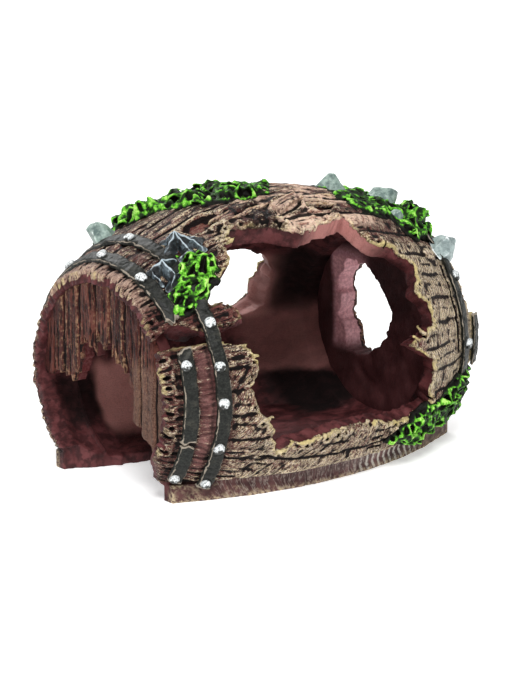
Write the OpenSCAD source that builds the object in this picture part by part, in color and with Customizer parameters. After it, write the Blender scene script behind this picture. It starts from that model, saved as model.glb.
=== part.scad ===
// Broken barrel cave ornament.
// A barrel lies on its side, cut flat underneath and hollow, with hoops, stones and moss on it.
// X runs along the barrel, Y goes to the back and Z goes up from the rest face.
// Angles round the barrel count from the top towards the front.

/* [Barrel] */
// Length from rim to rim
barrel_len = 107.6; // [104:0.1:111]
// Outer radius at the belly
belly_r = 44.8; // [44:0.1:46]
// Outer radius at both rims
rim_r = 29.4; // [29:0.1:30.4]
// Height of the barrel axis above the rest face
axis_z = 28.4; // [28:0.1:29.5]
// Mean thickness of the cast wall
wall_t = 6.5; // [5.5:0.1:7]
// Forward shift of the hollow, which leaves a thicker back wall
hollow_shift = 1.5; // [0.5:0.1:2]
// Thickness of the floor
floor_t = 3; // [2.4:0.1:3.4]

/* [Foot] */
// Height of the upright foot band
foot_h = 5; // [4:0.1:6]
// Half width of the foot at the belly
foot_belly = 35; // [34:0.5:37]
// Half width of the foot at the rims
foot_rim = 21; // [20:0.5:23]
// Height of the groove line above the foot
foot_groove = 0.8; // [0.5:0.1:1.2]

/* [Staves] */
// Number of staves round the barrel
stave_count = 36; // [30:2:40]
// Height of the stave faces over the grooves
stave_relief = 0.9; // [0.6:0.1:1.2]
// Angle of the groove between two staves
groove_angle = 1.2; // [0.8:0.1:1.6]
// Most that one stave face lies below its neighbour
stave_step = 0.35; // [0:0.05:0.5]
// Most that a stave end is worn back at the rim
end_wear = 1.6; // [0:0.1:2]
// Reach of the long staves past the right rim
stub_reach = 5.6; // [4:0.1:7]

/* [Heads] */
// Thickness of the wall round the mouth that holds each head
mouth_wall = 2.4; // [2.2:0.1:2.9]
// Fit between a head and the barrel
head_fit = 0.15; // [0.1:0.01:0.25]
// Depth of a head behind the rim
head_recess = 1.6; // [1:0.1:2]
// Thickness of the left head
left_head_t = 4.5; // [4:0.1:4.9]
// Thickness of the right head
right_head_t = 7; // [6:0.1:7.6]
// Height of the ledge that each head stops on
ledge_w = 2.2; // [1.6:0.1:2.6]
// Width of one head board
board_w = 6.6; // [5:0.1:8]
// Depth of the seams between head boards
board_seam = 0.6; // [0.3:0.1:0.9]

/* [Hoops] */
// Width of a hoop along the barrel
hoop_w = 3.4; // [3:0.1:4.2]
// Thickness of a hoop
hoop_t = 1.2; // [1:0.1:1.5]
// Gap between a hoop and the staves
hoop_fit = 0.15; // [0.1:0.01:0.25]
// Distance of the left end hoop's middle from the left rim
hoop_a_in = 5.7; // [5.2:0.1:6]
// Distance between the middles of the two left hoops
hoop_pair_gap = 7.9; // [7.4:0.1:8.4]
// Distance of the right hoop's middle from the right rim
hoop_c_in = 5.4; // [4.8:0.1:6]
// Distance of the hoop piece's middle from the end of the long staves
hoop_d_in = 3.4; // [2.8:0.1:3.8]
// Radius of a rivet head
rivet_r = 1.35; // [1:0.05:1.6]
// Height of a rivet head
rivet_h = 0.9; // [0.6:0.1:1.2]

/* [Trim] */
// Gap under each stone, splinter and moss pad
seat_gap = 0.15; // [0.1:0.01:0.25]
// Distance kept between trim pieces that meet
trim_gap = 0.3; // [0.2:0.05:0.4]
// Width of the larger stones
stone_w = 8; // [7:0.1:9]
// Length of a rock fin
fin_l = 10; // [9:0.1:11]
// Length of the loose board on the roof
board_l = 14; // [12:0.5:16]
// Thickness of the loose board
board_t = 1.1; // [0.8:0.1:1.4]
// Length of the longest roof splinter
splinter_l = 16; // [12:0.5:18]
// Reach of the longest splinter on a broken edge
tooth_l = 7; // [5:0.5:8]
// Radius of one moss tuft
tuft_r = 3.6; // [3.4:0.1:4.2]
// Height of the tallest moss tuft
tuft_h = 3.4; // [2.5:0.1:4]
// Most distance between the middles of two tufts
tuft_pitch = 4.6; // [4.2:0.1:4.8]
// Thickness of the moss bed under the tufts
bed_t = 0.6; // [0.4:0.1:0.9]

/* [Hidden] */

half_len = barrel_len / 2;
mouth_r = rim_r - mouth_wall;
ledge_r = mouth_r - ledge_w;
// Stretch of the outlines and places along the barrel, which are drawn on one 107.6 long
along = barrel_len / 107.6;
// Growth of the outlines across a mouth, which are drawn on one 27 in radius
across = mouth_r / 27;
stave_pitch = 360 / stave_count;
hoop_a_x = -half_len + hoop_a_in;
hoop_b_x = hoop_a_x + hoop_pair_gap;
hoop_c_x = half_len - hoop_c_in;
hoop_d_x = half_len + stub_reach - hoop_d_in;
hoop_lift = hoop_fit + hoop_t;
left_seat_x = -half_len + head_recess;
right_seat_x = half_len - head_recess;
// Radius from which a radial cut starts, inside every wall
cut_in = 9;
// Radius at which a radial cut ends, outside every wall
cut_out = 64;
// Angles at which the hoops end, behind and in front
hoop_end_angle = 125;
front_end_angle = 131;
right_end_angle = 126;
// Angles between which the long staves lie
stub_from = 76;
stub_to = 106;
// Ends of the round room inside, short of the ledges
room_from = -43 * along;
room_to = 40 * along;

stave_noise = rands(0, 1, stave_count * 3, 17);

// Broken outline of the front window: [x, angle round the barrel]
window_edge = [
    [-26, 27], [-20.5, 21], [-14, 23], [-8, 27], [-3, 31.5], [3, 30], [10, 28], [16, 26.5], [16.5, 35],
    [19, 41], [25, 42], [29, 46.5], [31, 50], [29.5, 57], [27, 61], [31, 67], [32, 76], [25, 79],
    [19, 81], [25, 85], [30.5, 89], [32, 95], [30, 102], [31, 110], [18, 109], [8, 106], [-6, 105],
    [-14, 107], [-24.5, 111], [-26, 103], [-30, 94], [-32.5, 84], [-30, 77], [-31.5, 69], [-36, 65.5],
    [-38, 58], [-34, 59.5], [-32, 56], [-33, 50.5], [-37.5, 48], [-35.5, 42], [-31, 38], [-27, 34]];
window_mid = [-6, 66];

// Outline of the gap above the left front staves
gap_edge = [
    [-60, 53.5], [-53, 54.5], [-50.5, 52.5], [-47.5, 51], [-44.5, 54], [-42, 57.5], [-36, 59], [-34, 62],
    [-36, 65.5], [-41, 62.5], [-46, 62.5], [-52, 61], [-60, 61.5]];
gap_mid = [-45, 58.8];

// Outline of the back window
back_edge = [
    [4, -75], [5, -85], [9, -90.5], [17, -91.5], [25, -89.5], [29, -87], [30, -83], [30.3, -78],
    [32, -73.5], [33, -68], [30.5, -61], [25, -58], [15, -58], [8, -62]];
back_mid = [19, -75];

// Outline of the arch in the left head: [y, z]
arch_edge = [
    [33, 26], [19, 28], [15, 28.5], [11.5, 30.5], [9, 35], [9.5, 38.5], [6, 40.2], [4, 38.5],
    [-2.5, 40], [-4.5, 37.5], [-7.5, 35], [-11, 32], [-12.2, 30], [-12.5, 22], [-14.5, 20.2],
    [-18, 17.3], [-21.5, 16], [-22.2, 12.5], [-26, 9], [-30, 6], [-30, -2], [33, -2]];

// Outline of the hole in the right head: [y, z]
hole_edge = [
    [17, 40], [12.5, 44.6], [6, 44.4], [2, 41.2], [-2, 38.2], [-5.2, 34.8], [-5.6, 31.6], [-4, 27.6],
    [-0.4, 22.2], [6, 17.8], [13, 17.6], [15, 25], [16.7, 27], [16.3, 32], [17.3, 35]];

// Plan of the open floor inside the left arch
floor_gap = [
    [-62, 19.4], [-51.7, 19], [-44, 14.5], [-35, 11], [-24.5, 9.6], [-19.5, 5], [-18.5, -4],
    [-22, -12], [-34, -17.5], [-47, -20.3], [-62, -21.5]];

// Places of the rivets on their hoop: [distance from its middle, angle]
left_rivets = [[0.5, -34], [0.7, -8], [-0.1, 23], [0.1, 71], [0.1, 128]];
inner_rivets = [[0.2, -4], [0.4, 56], [0, 74], [0, 89], [0, 109], [0, 128]];
right_rivets = [[0, 56], [0, 89]];

// Splinters on the broken edges: [x, angle, share of the longest reach, turn]
edge_teeth = [
    [-25, 24, 0.7, -25], [-6, 26, 0.57, -80], [12, 25, 0.57, -110], [27, 40, 0.57, 215],
    [31, 63, 0.7, 185], [31, 80, 1, 180], [-36, 53.5, 0.57, -10], [-34, 72, 0.7, 10],
    [-30, 99, 0.7, 20], [-12, 109, 0.7, 80], [4, 108, 0.57, 100]];

// Radius of the barrel at x
function barrel_r(x) = belly_r - (belly_r - rim_r) * pow(x / half_len, 2);

// Slope of the barrel's side at x
function skin_slope(x) = atan(-2 * (belly_r - rim_r) * x / pow(half_len, 2));

// Half width of the foot at x
function foot_w(x) = foot_belly - (foot_belly - foot_rim) * pow(x / half_len, 2);

// Angle that a length takes up round the barrel at x
function arc(length, x) = length / barrel_r(x) * 180 / PI;

// An outline of [x, angle] at the barrel's length
function stretched(edge) = [for (p = edge) [p[0] * along, p[1]]];

// An outline of [y, z] at the mouth's size
function grown(edge) = [for (p = edge) [p[0] * across, axis_z + (p[1] - 28.4) * across]];

// Evenly spaced places from a to b
function steps(a, b, n) = [for (i = [0:n]) a + (b - a) * i / n];

function reversed(list) = [for (i = [len(list) - 1:-1:0]) list[i]];

// A point at x, at an angle round the barrel and at a radius
function polar(x, angle, r) = [x, -r * sin(angle), axis_z + r * cos(angle)];

// An outline with one small tooth on each side
function toothed(edge, bite, seed) = let (n = len(edge), noise = rands(-1, 1, 2 * n, seed))
    [for (i = [0:n - 1]) let (a = edge[i], b = edge[(i + 1) % n]) each
        [a, (a + b) / 2 + bite * [noise[2 * i], noise[2 * i + 1]]]];

// Turns a profile of [radius, x] round the barrel axis between two angles
module sweep_round(from, to) {
    translate([0, 0, axis_z])
        rotate([from, 0, 0])
            rotate(a = 180, v = [1, 0, 1])
                rotate_extrude(angle = to - from)
                    children();
}

// Puts a piece on the barrel's skin, standing square to it
module on_skin(x, angle, lift = 0) {
    translate([0, 0, axis_z])
        rotate([angle, 0, 0])
            translate([x, 0, barrel_r(x) + lift])
                rotate([0, -skin_slope(x), 0])
                    children();
}

// A strip of the barrel's skin between two places, from one height above it to another
module skin_profile(from_x, to_x, low, high, n = 8) {
    xs = steps(from_x, to_x, n);
    polygon(concat(
        [for (x = xs) [barrel_r(x) + low, x]],
        [for (x = reversed(xs)) [barrel_r(x) + high, x]]));
}

// Removes the wall inside an outline, square to the barrel axis
module radial_cut(edge, mid) {
    n = len(edge);
    inner = [for (p = edge) polar(p[0], p[1], cut_in)];
    outer = [for (p = edge) polar(p[0], p[1], cut_out)];
    caps = [polar(mid[0], mid[1], cut_in), polar(mid[0], mid[1], cut_out)];
    polyhedron(
        points = concat(inner, outer, caps),
        faces = [for (i = [0:n - 1]) let (j = (i + 1) % n) each
            [[i, j, n + j, n + i], [j, i, 2 * n], [n + i, n + j, 2 * n + 1]]]);
}

// One stave face, with its own height and worn ends
module stave(i) {
    dip = -stave_step * stave_noise[3 * i];
    left_end = -half_len + end_wear * stave_noise[3 * i + 1];
    right_end = half_len - end_wear * stave_noise[3 * i + 2];
    middle = i * stave_pitch;
    half = (stave_pitch - groove_angle) / 2;
    sweep_round(middle - half, middle + half, $fn = stave_count)
        skin_profile(left_end, right_end, -stave_relief - 0.5, dip, 10);
}

module staves() {
    difference() {
        union() {
            for (i = [0:stave_count - 1])
                stave(i);
        }
        translate([-half_len * 2, -belly_r * 2, -belly_r])
            cube([half_len * 4, belly_r * 4, belly_r + foot_h + foot_groove]);
    }
}

// Solid body under the stave faces
module core() {
    xs = steps(-half_len + end_wear, half_len - end_wear, 10);
    sweep_round(0, 360, $fn = stave_count)
        polygon(concat(
            [[0, xs[0]]],
            [for (x = xs) [barrel_r(x) - stave_relief, x]],
            [[0, xs[len(xs) - 1]]]));
}

module foot() {
    front = steps(-47.5 * along, half_len - end_wear, 8);
    back = steps(half_len - end_wear, -51.7 * along, 8);
    linear_extrude(foot_h)
        polygon(concat([for (x = front) [x, -foot_w(x)]], [for (x = back) [x, foot_w(x)]]));
}

// The room inside, round in section, with a mouth and a ledge for each head
module hollow() {
    left_ledge = left_seat_x + left_head_t + head_fit;
    right_ledge = right_seat_x - right_head_t - head_fit;
    difference() {
        union() {
            translate([0, -hollow_shift, 0])
                sweep_round(0, 360, $fn = 48)
                    polygon(concat(
                        [[0, left_ledge + 1.2], [ledge_r - 1, left_ledge + 1.2]],
                        [for (x = steps(room_from, room_to, 8)) [barrel_r(x) - wall_t, x]],
                        [[ledge_r - 1, right_ledge - 1.2], [0, right_ledge - 1.2]]));
            translate([left_ledge - 1, 0, axis_z])
                rotate([0, 90, 0])
                    cylinder(h = right_ledge - left_ledge + 2, r = ledge_r, $fn = 48);
            translate([left_ledge, 0, axis_z])
                rotate([0, -90, 0])
                    cylinder(h = half_len, r = mouth_r, $fn = 60);
            translate([right_ledge, 0, axis_z])
                rotate([0, 90, 0])
                    cylinder(h = half_len, r = mouth_r, $fn = 60);
        }
        translate([-half_len * 2, -belly_r, -1])
            cube([half_len * 4, belly_r * 2, floor_t + 1]);
    }
}

// The long staves that reach past the right rim
module long_staves() {
    thick = 3.2;
    reach = [0.6, 1, 0.85];
    for (i = [0:2]) {
        from = stub_from + i * stave_pitch;
        sweep_round(from + groove_angle / 2, from + stave_pitch - groove_angle / 2, $fn = stave_count)
            skin_profile(half_len - 6, half_len + stub_reach * reach[i], -thick, 0, 3);
    }
}

// A pointed splinter of wood on a broken edge
module edge_splinter(x, angle, reach, turn) {
    root = 2.2;
    tip = 0.7;
    on_skin(x, angle, -root)
        rotate([0, 0, turn])
            hull() {
                translate([-root, -root, -root / 2])
                    cube([root, 2 * root, root]);
                translate([reach, -tip / 2, -tip / 2])
                    cube([tip, tip, tip]);
            }
}

// Clears the left ledge where the arch has no head to hold
module ledge_cut() {
    translate([left_seat_x, 0, 0])
        rotate([90, 0, 90])
            linear_extrude(left_head_t + 3)
                intersection() {
                    polygon(grown(arch_edge));
                    translate([0, axis_z])
                        circle(r = mouth_r - head_fit, $fn = 54);
                }
}

// Removes the broken corner of the left rim above the front of the foot
module front_corner_cut() {
    translate([0, -4, 0])
        rotate([90, 0, 0])
            linear_extrude(belly_r)
                scale([along, across])
                    polygon([[-60, 12.5], [-53, 11], [-50.5, 7], [-48, 4.6], [-47.5, -1], [-60, -1]]);
}

module shell() {
    color([0.36, 0.22, 0.17]) {
        difference() {
            union() {
                core();
                staves();
                long_staves();
                foot();
            }
            translate([-half_len * 2, -belly_r * 2, -belly_r * 2])
                cube([half_len * 4, belly_r * 4, belly_r * 2]);
            hollow();
            radial_cut(stretched(toothed(window_edge, 0.7, 5)), window_mid);
            radial_cut(stretched(toothed(gap_edge, 0.4, 8)), gap_mid);
            radial_cut(stretched(toothed(back_edge, 0.5, 3)), back_mid);
            translate([0, 0, -1])
                linear_extrude(floor_t + 2.3)
                    polygon([for (p = floor_gap) [p[0] * along, p[1] * across]]);
            ledge_cut();
            front_corner_cut();
        }
        for (t = edge_teeth)
            edge_splinter(t[0] * along, t[1], t[2] * tooth_l, t[3]);
    }
}

// Round head with board seams on its outer face
module head(thick, outward) {
    difference() {
        rotate([0, 90, 0])
            cylinder(h = thick, r = mouth_r - head_fit, center = true, $fn = 60);
        for (i = [-3:3])
            translate([outward * (thick / 2 + board_seam), (i + 0.2) * board_w, 0])
                rotate([0, 0, 45])
                    cube([board_seam * 2, board_seam * 2, mouth_r * 3], center = true);
    }
}

module left_head() {
    color([0.42, 0.27, 0.2])
        difference() {
            translate([left_seat_x + left_head_t / 2, 0, axis_z])
                head(left_head_t, -1);
            translate([-half_len - 1, 0, 0])
                rotate([90, 0, 90])
                    linear_extrude(20)
                        polygon(grown(arch_edge));
        }
}

module right_head() {
    color([0.4, 0.25, 0.21])
        difference() {
            translate([right_seat_x - right_head_t / 2, 0, axis_z])
                head(right_head_t, 1);
            translate([half_len - 20, 0, 0])
                rotate([90, 0, 90])
                    linear_extrude(30)
                        polygon(grown(toothed(hole_edge, 0.4, 9)));
            translate([0, -belly_r, -belly_r])
                cube([barrel_len, belly_r * 2, belly_r + floor_t + head_fit]);
        }
}

// A hoop band between two angles
module hoop(x, from, to) {
    color([0.24, 0.26, 0.24])
        sweep_round(from, to, $fn = 96)
            skin_profile(x - hoop_w / 2, x + hoop_w / 2, hoop_fit, hoop_lift, 2);
}

module hoop_left_upper() {
    hoop(hoop_a_x, -hoop_end_angle, 49);
}

module hoop_left_middle() {
    hoop(hoop_a_x, 63.5, 107);
}

module hoop_left_foot() {
    hoop(hoop_a_x, 109, front_end_angle);
}

module hoop_inner() {
    hoop(hoop_b_x, -hoop_end_angle, front_end_angle);
}

module hoop_right() {
    hoop(hoop_c_x, -hoop_end_angle, right_end_angle);
}

module hoop_stub() {
    hoop(hoop_d_x, stub_from + groove_angle, stub_to - groove_angle);
}

// Rivet heads, each a low dome on its hoop
module rivets(hoop_x, places) {
    color([0.72, 0.74, 0.75])
        for (p = places)
            on_skin(hoop_x + p[0], p[1], hoop_lift + seat_gap)
                rotate_extrude($fn = 24)
                    polygon([[0, 0], [rivet_r, 0], [rivet_r * 0.92, rivet_h * 0.5],
                        [rivet_r * 0.6, rivet_h * 0.88], [0, rivet_h]]);
}

module rivets_left() {
    rivets(hoop_a_x, left_rivets);
}

module rivets_inner() {
    rivets(hoop_b_x, inner_rivets);
}

module rivets_right() {
    rivets(hoop_c_x, right_rivets);
}

// An uneven ring of corners
function ring(rx, ry, n, seed) = let (noise = rands(0.78, 1.08, n, seed))
    [for (i = [0:n - 1]) noise[i] * [rx * cos(360 * i / n), ry * sin(360 * i / n)]];

// A faceted stone on a flat seat
module stone(size, seed, grow = 0) {
    rx = size[0] / 2 + grow;
    ry = size[1] / 2 + grow;
    h = size[2] + grow;
    hull() {
        linear_extrude(h * 0.4)
            polygon(ring(rx, ry, 7, seed));
        translate([0, 0, h * 0.4])
            linear_extrude(h * 0.35)
                polygon(ring(rx * 0.86, ry * 0.86, 6, seed + 1));
        linear_extrude(h)
            polygon(ring(rx * 0.42, ry * 0.42, 4, seed + 2));
    }
}

// A leaning ridge of rock
module rock_fin(length, width, h, lean, seed) {
    hull() {
        linear_extrude(h * 0.25)
            polygon(ring(length / 2, width / 2, 6, seed));
        translate([lean, 0, 0])
            linear_extrude(h)
                polygon(ring(length * 0.22, width * 0.1, 4, seed + 3));
    }
}

// The channel that a hoop needs through a piece that lies over it
module hoop_channel(x, from, to) {
    sweep_round(from, to, $fn = 96)
        skin_profile(x - hoop_w / 2 - trim_gap, x + hoop_w / 2 + trim_gap, -1, hoop_lift + seat_gap, 2);
}

// The room that a rivet needs under a piece that lies over it
module rivet_room(hoop_x, places) {
    for (p = places)
        on_skin(hoop_x + p[0], p[1], 0)
            cylinder(h = hoop_lift + seat_gap + rivet_h + trim_gap, r = rivet_r + trim_gap, $fn = 16);
}

module stone_left(grow = 0) {
    color([0.55, 0.58, 0.58])
        on_skin(hoop_b_x + 3.8 / 8 * stone_w, -32, seat_gap - grow)
            stone(stone_w * [1, 0.94, 0.7], 31, grow);
}

module stone_crest(grow = 0) {
    color([0.5, 0.54, 0.53])
        on_skin(27 * along, -1, seat_gap - grow)
            stone(stone_w * [0.68, 0.63, 0.64], 44, grow);
}

module stone_right(grow = 0) {
    color([0.52, 0.56, 0.55])
        on_skin(41.4 * along, 6, seat_gap - grow)
            stone(stone_w * [1.07, 1, 0.7], 52, grow);
}

module stone_small(grow = 0) {
    color([0.52, 0.56, 0.55])
        on_skin(38.5 * along, 6 + arc(1.45 * stone_w, 38.5 * along), seat_gap - grow)
            stone(stone_w * [0.55, 0.48, 0.3], 63, grow);
}

module stone_pale(grow = 0) {
    color([0.68, 0.71, 0.71])
        difference() {
            on_skin(hoop_c_x + 0.2 * stone_w, 41, seat_gap - grow)
                stone(stone_w * [1, 0.93, 0.65], 75, grow);
            hoop_channel(hoop_c_x, 10, 60);
        }
}

// A row of fins on the skin: [distance along and round from the first, turn, sizes, lean]
module fins(x, angle, list, seed, grow) {
    for (i = [0:len(list) - 1]) {
        f = list[i];
        place = x + f[0] * fin_l;
        on_skin(place, angle + arc(f[1] * fin_l, place), seat_gap - grow)
            rotate([0, 0, f[2]])
                rock_fin(f[3] * fin_l + 2 * grow, f[4] * fin_l + 2 * grow, f[5] * fin_l + grow,
                    f[6] * fin_l, seed + 3 * i);
    }
}

// Three sharp fins behind the inner hoop
module rock_cluster(grow = 0) {
    color([0.3, 0.33, 0.34])
        difference() {
            fins(hoop_b_x + 0.5 * fin_l, 15, [
                [0, 0, 60, 0.9, 0.7, 0.52, 0.1],
                [-0.05, 0.42, 100, 0.8, 0.6, 0.36, -0.1],
                [0.38, 0.34, 75, 0.7, 0.55, 0.28, 0.1]], 81, grow);
            hoop_channel(hoop_b_x, -10, 50);
            rivet_room(hoop_b_x, inner_rivets);
        }
}

// Fins that lie over the inner hoop
module rock_spur(grow = 0) {
    color([0.34, 0.37, 0.38])
        difference() {
            fins(hoop_b_x - 0.2 * fin_l, 24, [
                [0, 0, 35, 0.9, 0.6, 0.45, 0.1],
                [0, 0.52, 60, 0.8, 0.6, 0.38, 0]], 91, grow);
            hoop_channel(hoop_b_x, 0, 60);
            hoop_channel(hoop_a_x, 0, 60);
            rivet_room(hoop_a_x, left_rivets);
            rock_cluster(trim_gap);
        }
}

// A loose piece of board lying on the roof
module roof_board() {
    half = board_l / 2;
    color([0.5, 0.33, 0.27])
        on_skin(2 * along, 14, seat_gap + 0.1)
            rotate([0, 0, 28])
                difference() {
                    linear_extrude(board_t)
                        polygon(half * [[-1, -0.29], [0.79, -0.34], [1, -0.09], [0.91, 0.3],
                            [-0.89, 0.27], [-1.09, 0.06]]);
                    translate([0, 0, board_t])
                        rotate([45, 0, 0])
                            cube([board_l * 0.64, 0.7, 0.7], center = true);
                }
}

// Long splinters torn from the roof staves: [x, angle, share of the longest, turn]
module roof_splinters() {
    color([0.55, 0.4, 0.32])
        for (s = [[-17, 10, 1, 12], [-11, 15.5, 0.88, 8], [11.5, 19, 0.69, -6], [19, 12, 0.63, -4]]) {
            half = s[2] * splinter_l / 2;
            on_skin(s[0] * along, s[1], seat_gap + 0.25)
                rotate([0, 0, s[3]])
                    linear_extrude(0.9, scale = [0.85, 0.4])
                        polygon([[-half, 0], [-half / 2, -0.8], [half / 1.5, -1], [half, -0.1], [0, 0.9]]);
        }
}

// One low tuft of moss on a flat seat
module tuft(r, h, seed) {
    noise = rands(-0.35, 0.35, 2, seed);
    hull() {
        linear_extrude(0.6)
            polygon(ring(r, r, 7, seed + 1));
        translate([r * noise[0], r * noise[1], 0])
            linear_extrude(h)
                polygon(ring(r * 0.45, r * 0.45, 4, seed + 2));
    }
}

// A patch of tufts on a thin bed, over a field of the skin that is skewed along the barrel
module moss_patch(from_x, to_x, from_a, to_a, skew, seed, rise = 0) {
    cols = ceil((to_x - from_x) / tuft_pitch);
    rows = ceil((to_a - from_a) / arc(tuft_pitch, (from_x + to_x) / 2));
    col_w = (to_x - from_x) / cols;
    noise = rands(-1, 1, cols * rows * 3, seed);
    for (i = [0:cols - 1], j = [0:rows - 1]) {
        k = 3 * (i * rows + j);
        x = from_x + (i + 0.5 + 0.22 * noise[k]) * col_w;
        a = from_a + (to_a - from_a) * (j + 0.5 + 0.22 * noise[k + 1]) / rows + skew * (x - from_x);
        h = rise + tuft_h * (0.72 + 0.28 * noise[k + 2]);
        on_skin(x, a, seat_gap)
            tuft(tuft_r, h, seed + k);
    }
    for (i = [0:cols - 1]) {
        x = from_x + i * col_w;
        turn = skew * (x + col_w / 2 - from_x);
        edge = arc(tuft_r / 3, x);
        sweep_round(from_a + turn + edge, to_a + turn - edge, $fn = 72)
            skin_profile(x - seat_gap, x + col_w + seat_gap, seat_gap, seat_gap + rise + bed_t, 1);
    }
}

module moss_ridge() {
    color([0.2, 0.5, 0.12])
        difference() {
            union() {
                moss_patch(-34 * along, -19 * along, -36, -17, 0.5 / along, 102);
                moss_patch(-20 * along, 5 * along, -24, 1, 0.1 / along, 104);
            }
            hoop_channel(hoop_b_x, -60, 20);
            stone_left(trim_gap);
            rock_cluster(trim_gap);
        }
}

module moss_clump() {
    color([0.22, 0.55, 0.13])
        difference() {
            moss_patch(hoop_b_x - 3.8, hoop_b_x + 9.2, 27, 46, 0.25, 146, hoop_lift);
            hoop_channel(hoop_b_x, 0, 70);
            hoop_channel(hoop_a_x, 0, 70);
            rivet_room(hoop_b_x, inner_rivets);
            rock_cluster(trim_gap);
            rock_spur(trim_gap);
        }
}

module moss_right_roof() {
    edge_x = hoop_c_x - hoop_w / 2 - 2 * trim_gap;
    color([0.18, 0.46, 0.12])
        difference() {
            moss_patch(23 * along, edge_x - tuft_r / 2, -12, 20, 0.5 / along, 181);
            translate([edge_x, -belly_r, axis_z])
                cube([barrel_len, belly_r * 2, belly_r * 2]);
            stone_crest(trim_gap);
            stone_right(trim_gap);
            stone_small(trim_gap);
            stone_pale(trim_gap);
        }
}

module moss_foot() {
    color([0.2, 0.52, 0.12])
        difference() {
            union() {
                moss_patch(16 * along, hoop_c_x - hoop_w / 2, 113, 125, 0.05, 200);
                moss_patch(hoop_c_x - hoop_w, hoop_c_x + hoop_w, 114, 127, 0, 211, hoop_lift);
            }
            hoop_channel(hoop_c_x, 90, 140);
            translate([-half_len, -belly_r * 2, -belly_r])
                cube([barrel_len * 2, belly_r * 4, belly_r + foot_h + foot_groove + trim_gap]);
        }
}

shell();
left_head();
right_head();
hoop_left_upper();
hoop_left_middle();
hoop_left_foot();
hoop_inner();
hoop_right();
hoop_stub();
rivets_left();
rivets_inner();
rivets_right();
stone_left();
rock_cluster();
rock_spur();
stone_crest();
stone_right();
stone_small();
stone_pale();
roof_board();
roof_splinters();
moss_ridge();
moss_clump();
moss_right_roof();
moss_foot();
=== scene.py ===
import itertools
import math

import bpy
import numpy as np
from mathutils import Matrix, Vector
from mathutils.kdtree import KDTree


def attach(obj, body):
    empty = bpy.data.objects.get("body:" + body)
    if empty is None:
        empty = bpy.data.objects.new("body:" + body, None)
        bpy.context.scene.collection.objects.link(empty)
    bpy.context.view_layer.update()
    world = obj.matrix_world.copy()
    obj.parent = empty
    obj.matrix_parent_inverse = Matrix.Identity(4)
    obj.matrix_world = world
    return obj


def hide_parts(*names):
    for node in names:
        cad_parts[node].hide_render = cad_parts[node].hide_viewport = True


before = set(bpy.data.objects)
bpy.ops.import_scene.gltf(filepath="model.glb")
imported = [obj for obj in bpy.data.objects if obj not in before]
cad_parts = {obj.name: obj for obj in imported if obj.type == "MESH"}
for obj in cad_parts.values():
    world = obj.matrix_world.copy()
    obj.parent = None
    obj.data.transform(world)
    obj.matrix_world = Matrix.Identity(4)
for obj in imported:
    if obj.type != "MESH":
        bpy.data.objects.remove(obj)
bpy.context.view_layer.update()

# The barrel's sizes as in the part's source, in millimetres and degrees
MM = 0.001
HALF = 53.8  # half the length between the rims
BELLY, RIM = 44.8, 29.4  # outer radius in the middle and at a rim
AXIS = 28.4  # height of the axis
WALL, SHIFT = 6.5, 1.5  # the wall, and how far the hollow lies to the front
FLOOR_T, FOOT_H, GROOVE = 3.0, 5.0, 0.8  # floor, foot, and the groove over the foot
FOOT_W, FOOT_IN = 35, 14  # half the foot's width, and how much it narrows to a rim
MOUTH, LEDGE = 27.0, 24.8  # inner radius of a mouth, and of the ledge behind its head
HEAD_X, RECESS = 52.2, 1.6  # outer face of a head, and how far it lies back from the rim
FIT = 0.15  # the gap behind a head and under a hoop
LEFT_T, RIGHT_T, BOARD_W = 4.5, 7.0, 6.6  # the heads' thickness, and the width of a board
HOLLOW_L, HOLLOW_R = -43, 40  # where the hollow ends
STAVE = 10.0  # the angle of a stave
HOOP_A, HOOP_B, HOOP_C, HOOP_D = -48.1, -40.2, 48.4, 56  # the hoops' places in x
HOOP_W, HOOP_T, RIVET_LIFT = 3.4, 1.2, 1.32  # width, thickness, and a rivet's seat over the skin
ARC_R = 42.0  # the radius at which angles are taken as millimetres round the skin
# Faces that are left of the larger meshes
BARREL_FACES, HEAD_FACES, MOSS_FACES = 380_000, 90_000, 120_000
CORNERS = list(itertools.product((0, 1), repeat=3))
f4 = np.float32


# ---------------------------------------------------------------- numbers
def radius(x):
    """Outer radius of the plain skin at x."""
    return BELLY - (BELLY - RIM) * (np.asarray(x) / HALF) ** 2


def slope(x):
    """The angle at which the skin leans at x."""
    return math.atan(-2 * (BELLY - RIM) * x / HALF**2)


def foot_half(x):
    """Half the foot's width at x."""
    return FOOT_W - FOOT_IN * (x / HALF) ** 2


def ease(t):
    return t * t * (3 - 2 * t)


def step(a, b, v):
    """From 0 at a to 1 at b."""
    return ease(np.clip((v - a) / (b - a), 0, 1))


def span(v, a, b, c, d):
    """1 from b to c, and 0 before a and after d."""
    return step(a, b, v) * step(d, c, v)


def bell(v, width):
    return np.exp(-((v / width) ** 2))


def noise2(u, v, seed):
    """Value noise from -1 to 1 on a lattice of whole numbers."""
    g = np.random.default_rng(seed).random((128, 128)).astype(f4) * 2 - 1
    iu, iv = np.floor(u).astype(int), np.floor(v).astype(int)
    fu, fv = ease(u - iu), ease(v - iv)
    i0, i1, j0, j1 = iu & 127, (iu + 1) & 127, iv & 127, (iv + 1) & 127
    a = g[i0, j0] * (1 - fu) + g[i1, j0] * fu
    b = g[i0, j1] * (1 - fu) + g[i1, j1] * fu
    return a * (1 - fv) + b * fv


def fbm2(u, v, seed):
    """Three octaves of noise."""
    return sum(0.5**k * noise2(u * 2**k, v * 2**k, seed + k) for k in range(3))


def comb(coords, pitch):
    """The shares that the points of a lattice have in each coordinate."""
    t = (coords - coords[0]) / pitch
    i = np.floor(t).astype(int)
    f = ease(t - i)
    m = np.zeros((len(coords), i.max() + 2), f4)
    m[np.arange(len(coords)), i] = 1 - f
    m[np.arange(len(coords)), i + 1] = f
    return m


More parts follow.
